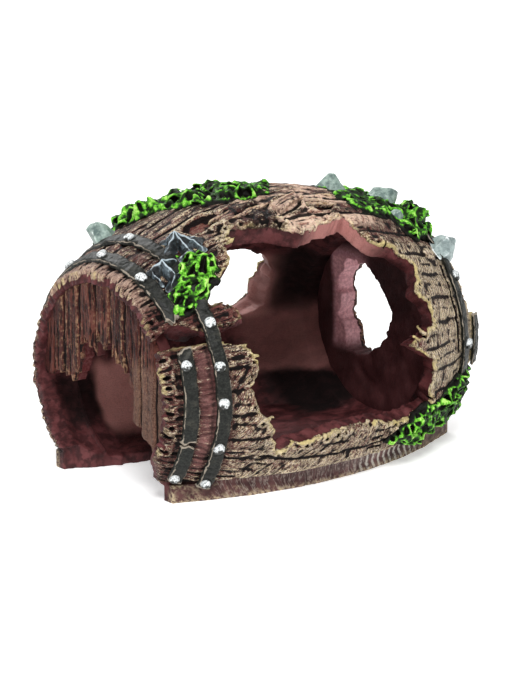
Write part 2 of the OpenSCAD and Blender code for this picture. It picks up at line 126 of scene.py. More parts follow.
def noise3(xs, ys, zs, pitch, seed):
    """Smooth noise from -1 to 1 over a whole grid."""
    a, b, c = (comb(q, pitch) for q in (xs, ys, zs))
    g = np.random.default_rng(seed).random((a.shape[1], b.shape[1], c.shape[1])).astype(f4) * 2 - 1
    g = np.tensordot(a, g, (1, 0))
    g = np.tensordot(b, g, (1, 1)).transpose(1, 0, 2)
    return g @ c.T


def segment_d(u, v, a, b):
    """Distance to a segment and the share of the way along it."""
    ex, ey = b[0] - a[0], b[1] - a[1]
    t = np.clip(((u - a[0]) * ex + (v - a[1]) * ey) / max(ex * ex + ey * ey, 1e-9), 0, 1)
    return np.hypot(u - a[0] - t * ex, v - a[1] - t * ey), t


def outline_sd(u, v, pts):
    """Signed distance to a closed outline, negative inside."""
    best = np.full(u.shape, 1e9, f4)
    inside = np.zeros(u.shape, bool)
    for (ax, ay), (bx, by) in zip(pts, pts[1:] + pts[:1]):
        best = np.minimum(best, segment_d(u, v, (ax, ay), (bx, by))[0])
        if by != ay:
            inside ^= ((ay > v) != (by > v)) & (u < (bx - ax) * (v - ay) / (by - ay) + ax)
    return np.where(inside, -best, best)


def arc_mm(a):
    """Degrees as millimetres round the skin."""
    return np.asarray(a) * (math.pi / 180 * ARC_R)


def skin_mm(points):
    """Points in x and angle, as x and millimetres round the skin."""
    return [(x, float(arc_mm(a))) for x, a in points]


def warped(u, v, seed, big, small):
    """Places moved a little by noise, so that outlines come out ragged."""
    du = big * noise2(u / 3.1, v / 3.1, seed) + small * noise2(u / 1.05, v / 1.05, seed + 1)
    dv = big * noise2(u / 2.7 + 40, v / 2.7, seed + 2) + small * noise2(u / 0.95 + 9, v / 0.95, seed + 3)
    return u + du, v + dv


# ---------------------------------------------------------------- meshes
def nets(F, lo, cell):
    """Vertices and quads of the surface F = 0, by surface nets."""
    S = F < 0
    size = [n - 1 for n in S.shape]
    solid = sum(
        S[a : a + size[0], b : b + size[1], c : c + size[2]].astype(np.int8) for a, b, c in CORNERS
    )
    cut = (solid > 0) & (solid < 8)
    ids = np.full(cut.shape, -1, np.int32)
    I = np.argwhere(cut)
    ids[cut] = np.arange(len(I), dtype=np.int32)
    P = np.zeros((len(I), 3), f4)
    N = np.zeros(len(I), f4)
    values = {k: F[tuple((I + k).T)] for k in CORNERS}
    for k in CORNERS:
        for ax in range(3):
            if k[ax] == 0:
                fa, fb = values[k], values[k[:ax] + (1,) + k[ax + 1 :]]
                m = (fa < 0) != (fb < 0)
                at = np.tile(np.array(k, f4), (m.sum(), 1))
                at[:, ax] += fa[m] / (fa[m] - fb[m])
                P[m] += at
                N[m] += 1
    V = (I + P / N[:, None]) * cell + np.array(lo, f4)
    quads = []
    for ax in range(3):
        o1, o2 = (ax + 1) % 3, (ax + 2) % 3
        A = np.take(S, range(0, size[ax]), ax)
        B = np.take(S, range(1, size[ax] + 1), ax)
        E = np.argwhere(A != B)
        E = E[(E[:, o1] > 0) & (E[:, o2] > 0) & (E[:, o1] < size[o1]) & (E[:, o2] < size[o2])]
        inner = A[tuple(E.T)]
        quad = []
        for s1, s2 in ((1, 1), (0, 1), (0, 0), (1, 0)):
            J = E.copy()
            J[:, o1] -= s1
            J[:, o2] -= s2
            quad.append(ids[tuple(J.T)])
        quad = np.stack(quad, 1)
        quad[~inner] = quad[~inner][:, ::-1]
        quads.append(quad)
    return V.astype(f4), np.concatenate(quads)


def blur(F, k):
    """Box blur with a window of 2k + 1 cells."""
    for ax in range(3):
        pad = [(0, 0)] * 3
        pad[ax] = (k + 1, k)
        c = np.cumsum(np.pad(F, pad, mode="edge"), axis=ax, dtype=f4)
        n = F.shape[ax]
        F = (np.take(c, range(2 * k + 1, 2 * k + 1 + n), ax) - np.take(c, range(0, n), ax)) / (2 * k + 1)
    return F


def sample(F, lo, cell, V):
    """Values of a grid at points."""
    p = np.clip((V - np.array(lo, f4)) / cell, 0, np.array(F.shape) - 1.001)
    i = p.astype(int)
    f = (p - i).astype(f4)
    total = 0
    for corner in CORNERS:
        share = [f[:, k] if corner[k] else 1 - f[:, k] for k in range(3)]
        total = total + share[0] * share[1] * share[2] * F[tuple((i + corner).T)]
    return total


def bends(F, lo, cell, V, limit, near, far):
    """How proud the surface stands at points, over a near and a far window of cells."""
    C = np.clip(F, -limit, limit)
    return sample(blur(blur(C, near), near), lo, cell, V), sample(blur(C, far), lo, cell, V)


def smooth(me):
    me.polygons.foreach_set("use_smooth", np.ones(len(me.polygons), bool))
    return me


def make_mesh(name, V, Q):
    """A mesh of quads from points in millimetres."""
    me = bpy.data.meshes.new(name)
    me.vertices.add(len(V))
    me.vertices.foreach_set("co", (np.asarray(V, f4) * MM).ravel())
    me.loops.add(len(Q) * 4)
    me.loops.foreach_set("vertex_index", np.ascontiguousarray(Q, np.int32).ravel())
    me.polygons.add(len(Q))
    me.polygons.foreach_set("loop_start", np.arange(len(Q), dtype=np.int32) * 4)
    me.polygons.foreach_set("loop_total", np.full(len(Q), 4, np.int32))
    me.update(calc_edges=True)
    me.validate()
    return smooth(me)


def listed_mesh(name, V, faces):
    """A mesh from points in millimetres and faces of any number of corners."""
    me = bpy.data.meshes.new(name)
    me.from_pydata((V * MM).tolist(), [], faces)
    return smooth(me)


def coords_of(me):
    V = np.empty(len(me.vertices) * 3, f4)
    me.vertices.foreach_get("co", V)
    return V.reshape(-1, 3) / MM


def put(me, name, values):
    """An attribute at the points: a number or a vector each."""
    values = np.asarray(values, f4)
    kind, key = ("FLOAT", "value") if values.ndim == 1 else ("FLOAT_VECTOR", "vector")
    at = me.attributes.new(name, kind, "POINT")
    at.data.foreach_set(key, np.ascontiguousarray(values).ravel())


def put_bends(me, near, far, edge, pit):
    """Attributes of edges and pits, from the weights of the two windows."""
    put(me, "edge", np.clip(near * edge[0] + far * edge[1], 0, 1))
    put(me, "pit", np.clip(-near * pit[0] - far * pit[1], 0, 1))


def piece(name, me, material, node):
    """One piece of the dressed part, in the place of a node of solids."""
    ob = bpy.data.objects.new(name, me)
    bpy.context.scene.collection.objects.link(ob)
    me.materials.append(material)
    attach(ob, "root")
    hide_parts(node)


def thin(me, faces):
    """A mesh of fewer faces, by collapsing edges where it is flattest."""
    me.calc_loop_triangles()
    have = len(me.loop_triangles)
    if have <= faces:
        return me
    ob = bpy.data.objects.new("thin", me)
    bpy.context.scene.collection.objects.link(ob)
    mod = ob.modifiers.new("thin", "DECIMATE")
    mod.ratio = faces / have
    mod.use_collapse_triangulate = True
    out = bpy.data.meshes.new_from_object(ob.evaluated_get(bpy.context.evaluated_depsgraph_get()))
    bpy.data.objects.remove(ob)
    bpy.data.meshes.remove(me)
    return smooth(out)


def skin_frame(x, a):
    """Origin and axes of the skin at x and angle a: along, across towards the back, out."""
    t = math.radians(a)
    s = slope(x)
    out0 = np.array([0, -math.sin(t), math.cos(t)])
    along = np.array([math.cos(s), 0, 0]) + math.sin(s) * out0
    out = np.array([-math.sin(s), 0, 0]) + math.cos(s) * out0
    across = np.array([0, math.cos(t), math.sin(t)])
    origin = np.array([x, 0, AXIS]) + float(radius(x)) * out0
    return origin, along, across, out


# ---------------------------------------------------------------- materials
def srgb(r, g, b):
    def lin(c):
        c /= 255
        return c / 12.92 if c <= 0.04045 else ((c + 0.055) / 1.055) ** 2.4

    return (lin(r), lin(g), lin(b), 1)


class Val:
    """A number or colour in a material, so that sums of them read as sums."""

    def __init__(self, m, socket):
        self.m, self.socket = m, socket

    def __add__(self, other):
        return self.m.math("ADD", self, other)

    def __mul__(self, other):
        return self.m.math("MULTIPLY", self, other)

    def __sub__(self, other):
        return self.m.math("SUBTRACT", self, other)

    def __rsub__(self, other):
        return self.m.math("SUBTRACT", other, self)


class Mat:
    """A small helper that builds one procedural material. Colours are given as sRGB from 0 to 255."""

    def __init__(self, name, roughness, specular):
        self.m = bpy.data.materials.new(name)
        self.m.use_nodes = True
        self.t = self.m.node_tree
        self.t.nodes.clear()
        out = self.t.nodes.new("ShaderNodeOutputMaterial")
        self.b = self.t.nodes.new("ShaderNodeBsdfPrincipled")
        self.t.links.new(self.b.outputs[0], out.inputs[0])
        self.b.inputs["Roughness"].default_value = roughness
        self.b.inputs["Specular IOR Level"].default_value = specular

    def set(self, socket, v):
        if isinstance(v, Val):
            self.t.links.new(v.socket, socket)
        else:
            socket.default_value = v

    def node(self, kind, inputs=(), output=0, **settings):
        n = self.t.nodes.new("ShaderNode" + kind)
        for key, value in settings.items():
            setattr(n, key, value)
        for key, value in inputs:
            self.set(n.inputs[key], value)
        return Val(self, n.outputs[output])

    def attr(self, name):
        return self.node("Attribute", (), "Fac", attribute_name=name)

    def attrs(self, names):
        return [self.attr(name) for name in names.split()]

    def vector(self, name):
        return self.node("Attribute", (), "Vector", attribute_name=name)

    def math(self, op, a, b=0.0, clamp=False):
        return self.node("Math", ((0, a), (1, b)), operation=op, use_clamp=clamp)

    def ramp(self, v, a, b, c=0.0, d=1.0, soft=True):
        kind = "SMOOTHSTEP" if soft else "LINEAR"
        return self.node("MapRange", enumerate((v, a, b, c, d)), interpolation_type=kind)

    def mix(self, f, a, b):
        a, b = (srgb(*c) if isinstance(c, tuple) else c for c in (a, b))
        return self.node("Mix", ((0, f), (6, a), (7, b)), 2, data_type="RGBA")

    def scaled(self, v, scale):
        return self.node("Mapping", (("Vector", v), ("Scale", scale)))

    def noise(self, v, scale, detail, rough, distort=0.0):
        keys = ("Vector", "Scale", "Detail", "Roughness", "Distortion")
        return self.node("TexNoise", zip(keys, (v, scale, detail, rough, distort)))

    def part(self, v, k):
        return self.node("SeparateXYZ", ((0, v),), k)

    def bump(self, height, distance, strength):
        return self.node("Bump", (("Height", height), ("Distance", distance), ("Strength", strength)))

    def finish(self, colour, normal=None, rough=None):
        for key, v in (("Base Color", colour), ("Normal", normal), ("Roughness", rough)):
            if v is not None:
                self.set(self.b.inputs[key], v)
        return self.m


def line_noise(m, v, scale, centre, thinness):
    """Thin wandering lines, 1 on a line and 0 away from it, and the noise that they come from."""
    n = m.noise(m.scaled(v, scale), 1.0, 2.5, 0.55, 0.25)
    off = m.math("ABSOLUTE", n - centre)
    return m.math("SUBTRACT", 1.0, off * thinness, clamp=True), n


def wood_material():
    """Red-brown staves dry-brushed in cream, dark in the crevices and smooth maroon inside."""
    m = Mat("cast_wood", 0.52, 0.2)
    lie, skin = m.vector("lie"), m.vector("skin")
    edge, pit, deep, dry, rim, bare = m.attrs("edge pit deep dry rim bare")
    calm, stain, foot, glow, gloom, red = m.attrs("calm stain foot glow gloom red")
    line_a, grain_a = line_noise(m, lie, (1.15, 0.17, 0.6), 0.52, 9.0)
    line_b, grain_b = line_noise(m, lie, (2.5, 0.42, 1.0), 0.5, 7.0)
    net = line_noise(m, lie, (1.6, 1.1, 1.0), 0.5, 9.0)[0]
    grit, fleck = m.noise(skin, 2.4, 3, 0.6), m.noise(skin, 1.1, 3, 0.65)
    patch = m.noise(skin, 0.16, 3, 0.55)
    grain = grain_a * 0.6 + grain_b * 0.4
    base = m.mix(m.ramp(patch, 0.35, 0.65), (74, 36, 32), (108, 62, 57))
    base = m.mix(m.ramp(grit, 0.42, 0.7, 0.0, 0.5), base, (134, 88, 82))
    base = m.mix(m.ramp(grain, 0.54, 0.4), base, (22, 10, 9))
    base = m.mix(m.ramp(fleck, 0.46, 0.3, 0.0, 0.7), base, (20, 9, 8))
    # rubbed bare, smooth, and freshly broken
    bald = m.mix(m.ramp(grain, 0.38, 0.5), (166, 118, 102), (236, 202, 180))
    base = m.mix(bare * m.ramp(fleck, 0.3, 0.5), base, bald)
    plain = m.mix(m.ramp(patch, 0.4, 0.6), (118, 76, 74), (152, 108, 104))
    base = m.mix(calm * m.ramp(grit, 0.3, 0.62, 0.95, 0.35), base, plain)
    base = m.mix(red, base, m.mix(m.ramp(grit, 0.4, 0.65), (88, 36, 32), (126, 64, 58)))
    # crevices, dark wash round the moss and on the lump, and painted shade beside the hoops, round the loose
    # board and in the slit
    base = m.mix(stain * m.ramp(fleck, 0.3, 0.6, 0.95, 0.6), base, (17, 12, 9))
    base = m.mix(m.ramp(pit, 0.0, 0.28) * m.ramp(calm, 0.0, 1.0, 0.97, 0.4), base, (10, 5, 4))
    # dry brush on what stands proud
    lines = m.math("MAXIMUM", line_a, line_b * 0.85)
    high = edge * 0.26 + lines * 0.66 + net * 0.42 + (fleck - 0.5) + (dry - 0.5) * 0.7 - calm * 0.22
    brush = m.math("SUBTRACT", m.ramp(high, 0.66, 1.08), m.ramp(pit, 0.0, 0.3), clamp=True)
    cream = m.mix(m.ramp(grit, 0.35, 0.65), (226, 204, 158), (232, 218, 198))
    base = m.mix(brush * (1.0 - red * 0.8) * 0.88, base, cream)
    # fine hatching cut across the staves
    wave = m.part(lie, 0) * 4.4 + m.noise(lie, 0.4, 2, 0.5) * 6.0
    cut = m.ramp(m.math("SINE", wave), 0.0, 0.8) * m.ramp(dry, 0.66, 0.85)
    base = m.mix(cut * m.ramp(grit, 0.3, 0.6, 0.95, 0.5), base, (58, 40, 36))
    # cream on the broken edges
    lip = rim * m.ramp(edge * 0.9 + (fleck - 0.5) * 2.2, 0.22, 0.62)
    base = m.mix(lip * 0.92, base, (232, 212, 146))
    # the foot: smooth, with light specks and upright strokes
    band = m.mix(m.ramp(patch, 0.35, 0.65), (62, 36, 35), (98, 64, 62))
    band = m.mix(m.ramp(grain_a, 0.46, 0.62, 0.0, 0.4), band, (34, 20, 18))
    bars = m.ramp(m.math("SINE", m.part(lie, 0) * 3.1 + grit * 3.0), 0.0, 0.9)
    band = m.mix(bars * (bare * m.ramp(fleck, 0.3, 0.5)) * 0.9, band, (196, 190, 180))
    speck = m.ramp(line_a * m.ramp(dry, 0.3, 0.7, 0.2, 1.0) + fleck, 1.1, 1.5) * 0.32
    band = m.mix(speck, band, (186, 174, 162))
    band = m.mix(edge * m.ramp(fleck, 0.4, 0.6), band, (190, 172, 140))
    # the inside, with painted light where light falls through the openings and painted shade in its dark
    # corners
    inner = m.mix(m.ramp(patch, 0.3, 0.7), (70, 31, 32), (104, 56, 57))
    inner = m.mix(m.ramp(m.noise(skin, 0.3, 4, 0.6), 0.42, 0.6, 0.0, 0.75), inner, (40, 16, 17))
    # painted light: pale pink where light falls on the inside
    inner = m.mix(glow * m.ramp(grit, 0.3, 0.6, 0.75, 1.0), inner, (222, 156, 148))
    # painted shade: near-black in the dark corners inside
    inner = m.mix(gloom, inner, (10, 4, 4))
    base = m.mix(m.ramp(deep, 0.3, 0.7), m.mix(foot, base, band), inner)
    # roughness goes up in the painted shade, so that it shows little sheen
    rough = m.math("MAXIMUM", m.ramp(grit, 0.3, 0.7, 0.42, 0.64, False), gloom * 0.95)
    height = lines * 0.6 + grit * 0.8
    height = height * m.ramp(m.math("MAXIMUM", deep, foot), 0.3, 0.7, 1.0, 0.2)
    return m.finish(base, m.bump(height, 0.0005, 0.9), rough)


def head_material(name, low, pale):
    """Upright boards. The inner face has one colour at the bottom, and a paler one where it is lit."""
    m = Mat(name, 0.52, 0.2)
    skin = m.vector("skin")
    edge, pit, deep, lit, flat, tone = m.attrs("edge pit deep lit flat tone")
    line_a, grain_a = line_noise(m, skin, (1, 1.9, 0.14), 0.52, 8.0)
    line_b, grain_b = line_noise(m, skin, (1, 4.2, 0.4), 0.5, 7.0)
    grit, fleck = m.noise(skin, 2.4, 3, 0.6), m.noise(skin, 1.1, 3, 0.65)
    patch = m.noise(skin, 0.14, 3, 0.5)
    base = m.mix(m.ramp(patch, 0.35, 0.65), (70, 30, 27), (108, 60, 50))
    base = m.mix(m.ramp(grain_a * 0.6 + grain_b * 0.4, 0.53, 0.4), base, (30, 11, 10))
    base = m.mix(flat * 0.75, base, m.mix(m.ramp(grit, 0.35, 0.65), (84, 56, 46), (136, 104, 86)))
    base = m.mix(m.ramp(pit, 0.04, 0.4) * 0.95, base, (18, 8, 7))
    lines = m.math("MAXIMUM", line_a, line_b * 0.8)
    high = edge * 0.45 + lines * 0.75 + (fleck - 0.5) * 1.9
    base = m.mix(m.ramp(high, 0.68, 1.15) * tone * 0.85, base, (184, 146, 112))
    inner = m.mix(m.ramp(patch, 0.3, 0.7), low, (low[0] + 24, low[1] + 18, low[2] + 18))
    shade = tuple(c - 34 for c in pale)
    # painted light: the paler colour where light falls on the inner face
    inner = m.mix(lit, inner, m.mix(m.ramp(fleck, 0.35, 0.6), pale, shade))
    base = m.mix(m.ramp(deep, 0.3, 0.7), base, inner)
    height = (lines + grit) * m.ramp(deep, 0.3, 0.7, 1, 0.2)
    return m.finish(base, m.bump(height, 0.0004, 0.85), m.ramp(grit, 0.3, 0.7, 0.4, 0.62, False))


def hoop_material():
    """Near-black iron paint, worn light along its edges."""
    m = Mat("hoop_paint", 0.5, 0.2)
    skin, edge = m.vector("skin"), m.attr("edge")
    grit, fine = m.noise(skin, 1.6, 4, 0.65), m.noise(skin, 5.0, 3, 0.6)
    patch = m.noise(skin, 0.3, 3, 0.5)
    base = m.mix(m.ramp(grit, 0.35, 0.75), (16, 17, 15), (44, 46, 42))
    base = m.mix(m.ramp(patch, 0.52, 0.75, 0.0, 0.6), base, (70, 68, 60))
    base = m.mix(m.ramp(edge + grit * 0.9, 0.85, 1.15) * 0.7, base, (170, 158, 142))
    base = m.mix(m.ramp(fine, 0.62, 0.76, 0.0, 0.6), base, (126, 128, 118))
    base = m.mix(m.ramp(grit, 0.28, 0.36, 1.0, 0.0), base, (18, 18, 17))
    rough = m.ramp(grit, 0.3, 0.7, 0.34, 0.55, False)
    return m.finish(base, m.bump(grit + fine * 0.3, 0.0002, 0.5), rough)


def rivet_material():
    """Silver-white paint kept to the upper side as a painted highlight, and dark below as painted shade."""
    m = Mat("rivet_paint", 0.35, 0.6)
    m.b.inputs["Metallic"].default_value = 0.15
    skin = m.vector("skin")
    grit, mid = m.noise(skin, 2.2, 4, 0.65), m.noise(skin, 0.9, 2, 0.5)
    silver = m.mix(m.ramp(grit, 0.36, 0.56), (112, 118, 118), (238, 242, 242))
    # painted highlight on the upper side of each rivet head, painted shade on the lower side
    base = m.mix(m.ramp(m.attr("up") + (mid - 0.5) * 1.6, 0.28, 0.5), (34, 36, 33), silver)
    return m.finish(base, m.bump(grit, 0.0004, 0.8))


def stone_material(name, dark, mid, light, hollow=0.0):
    """Painted stone with light edges. hollow says how black it is between them."""
    m = Mat(name, 0.36, 0.4)
    skin = m.vector("skin")
    edge, pit = m.attrs("edge pit")
    grit, fine = m.noise(skin, 1.3, 4, 0.6), m.noise(skin, 5.0, 3, 0.6)
    broad, murk = m.noise(skin, 0.35, 3, 0.55), m.noise(skin, 0.42, 3, 0.6, 0.4)
    base = m.mix(m.ramp(grit * 0.4 + broad * 0.6, 0.36, 0.62), dark, mid)
    base = m.mix(m.ramp(pit, 0.05, 0.5) * 0.85, base, (20, 22, 20))
    base = m.mix(m.ramp(murk, 0.56, 0.46) * hollow, base, (16, 16, 17))
    high = edge * m.ramp(murk, 0.3, 0.6, 1 - 0.5 * hollow, 1.1) + (grit + broad) * 0.3
    base = m.mix(m.ramp(high, 0.55, 0.95), base, light)
    return m.finish(base, m.bump(grit + fine * 0.4, 0.0004, 0.6))


def moss_material():
    """Black-green hollows, and bright green on the tops."""
    m = Mat("moss_paint", 0.5, 0.14)
    skin = m.vector("skin")
    edge, pit, up = m.attrs("edge pit up")
    grit, patch = m.noise(skin, 1.8, 4, 0.6), m.noise(skin, 0.35, 3, 0.6)
    mid = m.noise(skin, 0.9, 3, 0.6)
    high = up * 0.7 + edge * 0.35 + (patch - 0.5) * 1.3 + (mid - 0.5) * 0.9 - pit * 0.8
    base = m.mix(m.ramp(high, 0.46, 0.8), (14, 12, 8), (28, 54, 16))
    base = m.mix(m.ramp(high, 0.78, 1.04), base, (104, 190, 46))
    base = m.mix(m.ramp(high + grit * 0.5, 1.25, 1.55), base, (186, 232, 120))
    return m.finish(base, m.bump(grit, 0.0004, 0.7), m.ramp(grit, 0.3, 0.7, 0.4, 0.6, False))


WOOD = wood_material()
# each head's last colour is painted light on its inner face
HEAD_L = head_material("head_boards", (70, 32, 32), (110, 62, 62))
HEAD_R = head_material("head_boards_right", (50, 22, 23), (236, 178, 184))
HOOP = hoop_material()
RIVET = rivet_material()
STONE = stone_material("stone_paint", (84, 104, 100), (158, 178, 168), (216, 230, 222))
PALE = stone_material("pale_stone_paint", (110, 124, 124), (166, 182, 180), (240, 246, 246))
ROCK = stone_material("rock_paint", (34, 40, 44), (98, 112, 120), (176, 190, 198), 0.9)
MOSS = moss_material()

# ---------------------------------------------------------------- broken outlines
# Openings in the wall, in x and angle from the top towards the front
WINDOW = [
    (-26, 27), (-20.5, 21), (-14, 23), (-8, 27), (-3, 31.5), (3, 30), (10, 28), (16, 26.5), (16.5, 35),
    (19, 41), (25, 42), (29, 46.5), (31, 50), (29.5, 57), (27, 61), (31, 67), (32, 76), (25, 79),
    (19, 81), (25, 85), (30.5, 89), (32, 95), (30, 102), (31, 110), (18, 109), (8, 106), (-6, 105),
    (-14, 107), (-24.5, 111), (-26, 103), (-30, 94), (-32.5, 84), (-30, 77), (-31.5, 69), (-36, 65.5),
    (-38, 58), (-34, 59.5), (-32, 56), (-33, 50.5), (-37.5, 48), (-35.5, 42), (-31, 38), (-27, 34)]
GAP = [
    (-60, 53.5), (-53, 54.5), (-50.5, 52.5), (-47.5, 51), (-44.5, 54), (-42, 57.5), (-36, 59), (-34, 62),
    (-36, 65.5), (-41, 62.5), (-46, 62.5), (-52, 61), (-60, 61.5)]
BACK = [
    (4, -75), (5, -85), (9, -90.5), (17, -91.5), (25, -89.5), (29, -87), (30, -83), (30.3, -78),
    (32, -73.5), (33, -68), (30.5, -61), (25, -58), (15, -58), (8, -62)]
# The back window is wider inside the wall than outside
BACK_INNER = [
    (3, -74), (4, -86), (9, -92), (17, -93), (25, -91), (30, -88), (31, -82), (31, -74), (30, -66),
    (26.5, -58.5), (21, -55.5), (12, -55.5), (5, -60)]
# Openings in the heads, in y and z
ARCH = [
    (33, 26), (19, 28), (15, 28.5), (11.5, 30.5), (9, 35), (9.5, 38.5), (6, 40.2), (4, 38.5),
    (-2.5, 40), (-4.5, 37.5), (-7.5, 35), (-11, 32), (-12.2, 30), (-12.5, 22), (-14.5, 20.2),
    (-18, 17.3), (-21.5, 16), (-22.2, 12.5), (-26, 9), (-30, 6), (-30, -2), (33, -2)]
HOLE = [
    (17, 40), (12.5, 44.6), (6, 44.4), (2, 41.2), (-2, 38.2), (-5.2, 34.8), (-5.6, 31.6), (-4, 27.6),
    (-0.4, 22.2), (6, 17.8), (13, 17.6), (15, 25), (16.7, 27), (16.3, 32), (17.3, 35)]
# The open floor inside the arch, in x and y
FLOOR_GAP = [
    (-62, 19.4), (-51.7, 19), (-44, 14.5), (-35, 11), (-24.5, 9.6), (-19.5, 5), (-18.5, -4),
    (-22, -12), (-34, -17.5), (-47, -20.3), (-62, -21.5)]
# The broken lower corner of the left rim at the front, in x and z, and its slanted part
CORNER = [(-60, 15), (-53.6, 13.5), (-51.5, 9.2), (-50.0, 6.2), (-48, 4.5), (-47.3, -1), (-60, -1)]
SLANTED = [(-60, 15), (-53.8, 13), (-52.4, 9.4), (-51.4, 5.2), (-60, 5.2)]
# Splinters on the broken edges: x, angle, reach, turn
TEETH = [
    (-25, 24, 3.5, -25), (27, 40, 2.5, 215), (31, 63, 3, 185), (-36, 53.5, 3, -10), (-33.5, 73, 4, 10),
    (-30, 99, 3.5, 20), (-12, 109, 2, 80), (4, 108, 2.5, 100)]
# Broken prongs at the right of the window, like a small branch: from, to, half width
PRONGS = [
    ((33, 78), (24.5, 82), 1.0), ((28, 80), (25, 74.5), 0.75), ((26.5, 81), (22, 78.5), 0.6),
    ((31, 80), (27.5, 86), 0.8)]
# Ridges on the roof: from, to, half width, height
RIDGES = [
    ((-26, 18), (-15.5, 15), 0.9, 1.1), ((-15.5, 15), (-2.5, 9.5), 0.8, 1.1), ((-24, 13), (-9, 7), 0.7, 0.8),
    ((-30, 2), (-16, 0), 0.8, 0.6), ((-3, 4), (13, 9), 0.8, 0.7), ((-9, 24), (-5, 18), 0.7, 0.6),
    ((4, 15.2), (16, 14.2), 0.6, 0.8), ((4, 22.6), (14, 21.4), 0.55, 0.6)]
# Recessed places on the roof: x, angle, half length, half width, depth
HOLLOWS = [(10.4, 19.6, 4.6, 2.4, 1.5), (-25.2, 11.6, 5.4, 3.3, 1.6), (8.3, 25.4, 3.2, 0.9, 0.5)]
# The loose board's outline, in x and millimetres round the skin
BOARD = [
    (-7.4, 14.6), (-3, 10.5), (1.6, 7.9), (5.6, 9.0), (7.0, 11.4), (5.0, 14.2), (0.4, 16.6), (-6.6, 17.8)]
# How far the long staves reach past the right rim, by their number from the top
LONG_REACH = {8: 3.4, 9: 5.5, 10: 4.8}


def ring_places():
    """Coral-like rings: on the left rim, and scattered along the window's outline."""
    rnd = np.random.default_rng(17)
    places = [(-52.6 + 0.5 * rnd.random(), a + rnd.uniform(-1.5, 1.5), rnd.uniform(0.9, 1.5))
              for a in np.arange(47, 118, 6.6)]
    pts = skin_mm(WINDOW)
    middle = (-2.0, float(arc_mm(68)))
    for (ax, ay), (bx, by) in zip(pts, pts[1:] + pts[:1]):
        n = int(math.hypot(bx - ax, by - ay) / 2.6)
        for k in range(n):
            if rnd.random() < 0.55:
                t = (k + rnd.random()) / n
                x, y = ax + (bx - ax) * t, ay + (by - ay) * t
                away = math.hypot(x - middle[0], y - middle[1])
                push = rnd.uniform(0.9, 1.7)
                x, y = x + (x - middle[0]) / away * push, y + (y - middle[1]) / away * push
                places.append((x, y / (math.pi / 180 * ARC_R), rnd.uniform(0.6, 1.0)))
    return places + [(-32.6, 55.5, 1.3), (-31.6, 67, 1.4), (-30.6, 61, 1.0)]


# ---------------------------------------------------------------- maps over the skin
MAP = 0.25
MX = np.arange(-58, 62.01, MAP).astype(f4)
MA = np.arange(-180, 180.01, MAP).astype(f4)
X, A = np.meshgrid(MX, MA, indexing="ij")
S = arc_mm(A).astype(f4)


def opening_maps():
    """How far the openings reach, more than 0 where the wall is open: outer and inner edge."""
    U, W = warped(X, S, 11, 0.5, 0.32)
    window, gap, back, back_inner = (outline_sd(U, W, skin_mm(q)) for q in (WINDOW, GAP, BACK, BACK_INNER))
    front = np.minimum(window, gap)
    outer, inner = -np.minimum(front, back), -np.minimum(front, back_inner)
    for x, a, reach, turn in TEETH:
        y, c, s = float(arc_mm(a)), math.cos(math.radians(turn)), math.sin(math.radians(turn))
        d, k = segment_d(U, W, (x - 1.5 * c, y + 1.5 * s), (x + reach * c, y - reach * s))
        outer = np.minimum(outer, d - (1.5 - 1.15 * k))
    for p, q, width in PRONGS:
        d, k = segment_d(U, W, *skin_mm((p, q)))
        outer = np.minimum(outer, d - width * (1 - 0.4 * k))
    return outer.astype(f4), inner.astype(f4)


def hollow_q(x, a, rx, ra):
    """1 on the outline of a recessed place, and less inside."""
    return np.hypot((X - x) / rx, (S - arc_mm(a)) / ra)


OPEN_OUT, OPEN_IN = opening_maps()
BOARD_D = outline_sd(X, S, BOARD)
BOSS_D = np.hypot(X - 41.5, S - arc_mm(44.5))

# Staves: number, share of the way across, and distance to a seam and to the middle
seam_a = A + 0.55 * noise2(X / 9, A / 7, 31) + 0.2 * noise2(X / 2.2, A / 5, 32)
stave_i = np.floor(seam_a / STAVE + 0.5)
in_stave = seam_a / STAVE + 0.5 - stave_i
seam_d = np.minimum(in_stave, 1 - in_stave) * STAVE * math.pi / 180 * radius(X)
middle_d = np.abs(in_stave - 0.5 + 0.06 * noise2(X / 6, A / 9, 33)) * STAVE * math.pi / 180 * radius(X)
stave_draws = np.random.default_rng(5).random((5, 64))
SI = (stave_i + 20).astype(int)

# Where the strokes run round the barrel. Elsewhere they run along it
CROSS = np.maximum.reduce([
    step(17, 22, X) * span(A, 20, 25, 124, 128),
    span(X, -38, -37, -27, -25) * span(A, 74, 78, 108, 112),
    step(99, 102, A) * step(-36, -30, X) * 0.6]) > 0.5
slant = (stave_draws[3][SI] - 0.5) * 1.1 + np.where(X < 0, 0.75, 0.0)
across_mm = (in_stave - 0.5) * STAVE * math.pi / 180 * ARC_R
LIE_U = np.where(CROSS, X + across_mm * slant, S + 0.8 * noise2(X / 12, S / 6, 34)).astype(f4)
LIE_V = np.where(CROSS, S + 37 * stave_i, X + 23 * stave_draws[4][SI]).astype(f4)
HATCH = np.where(CROSS, 1.5, 1.15).astype(f4)


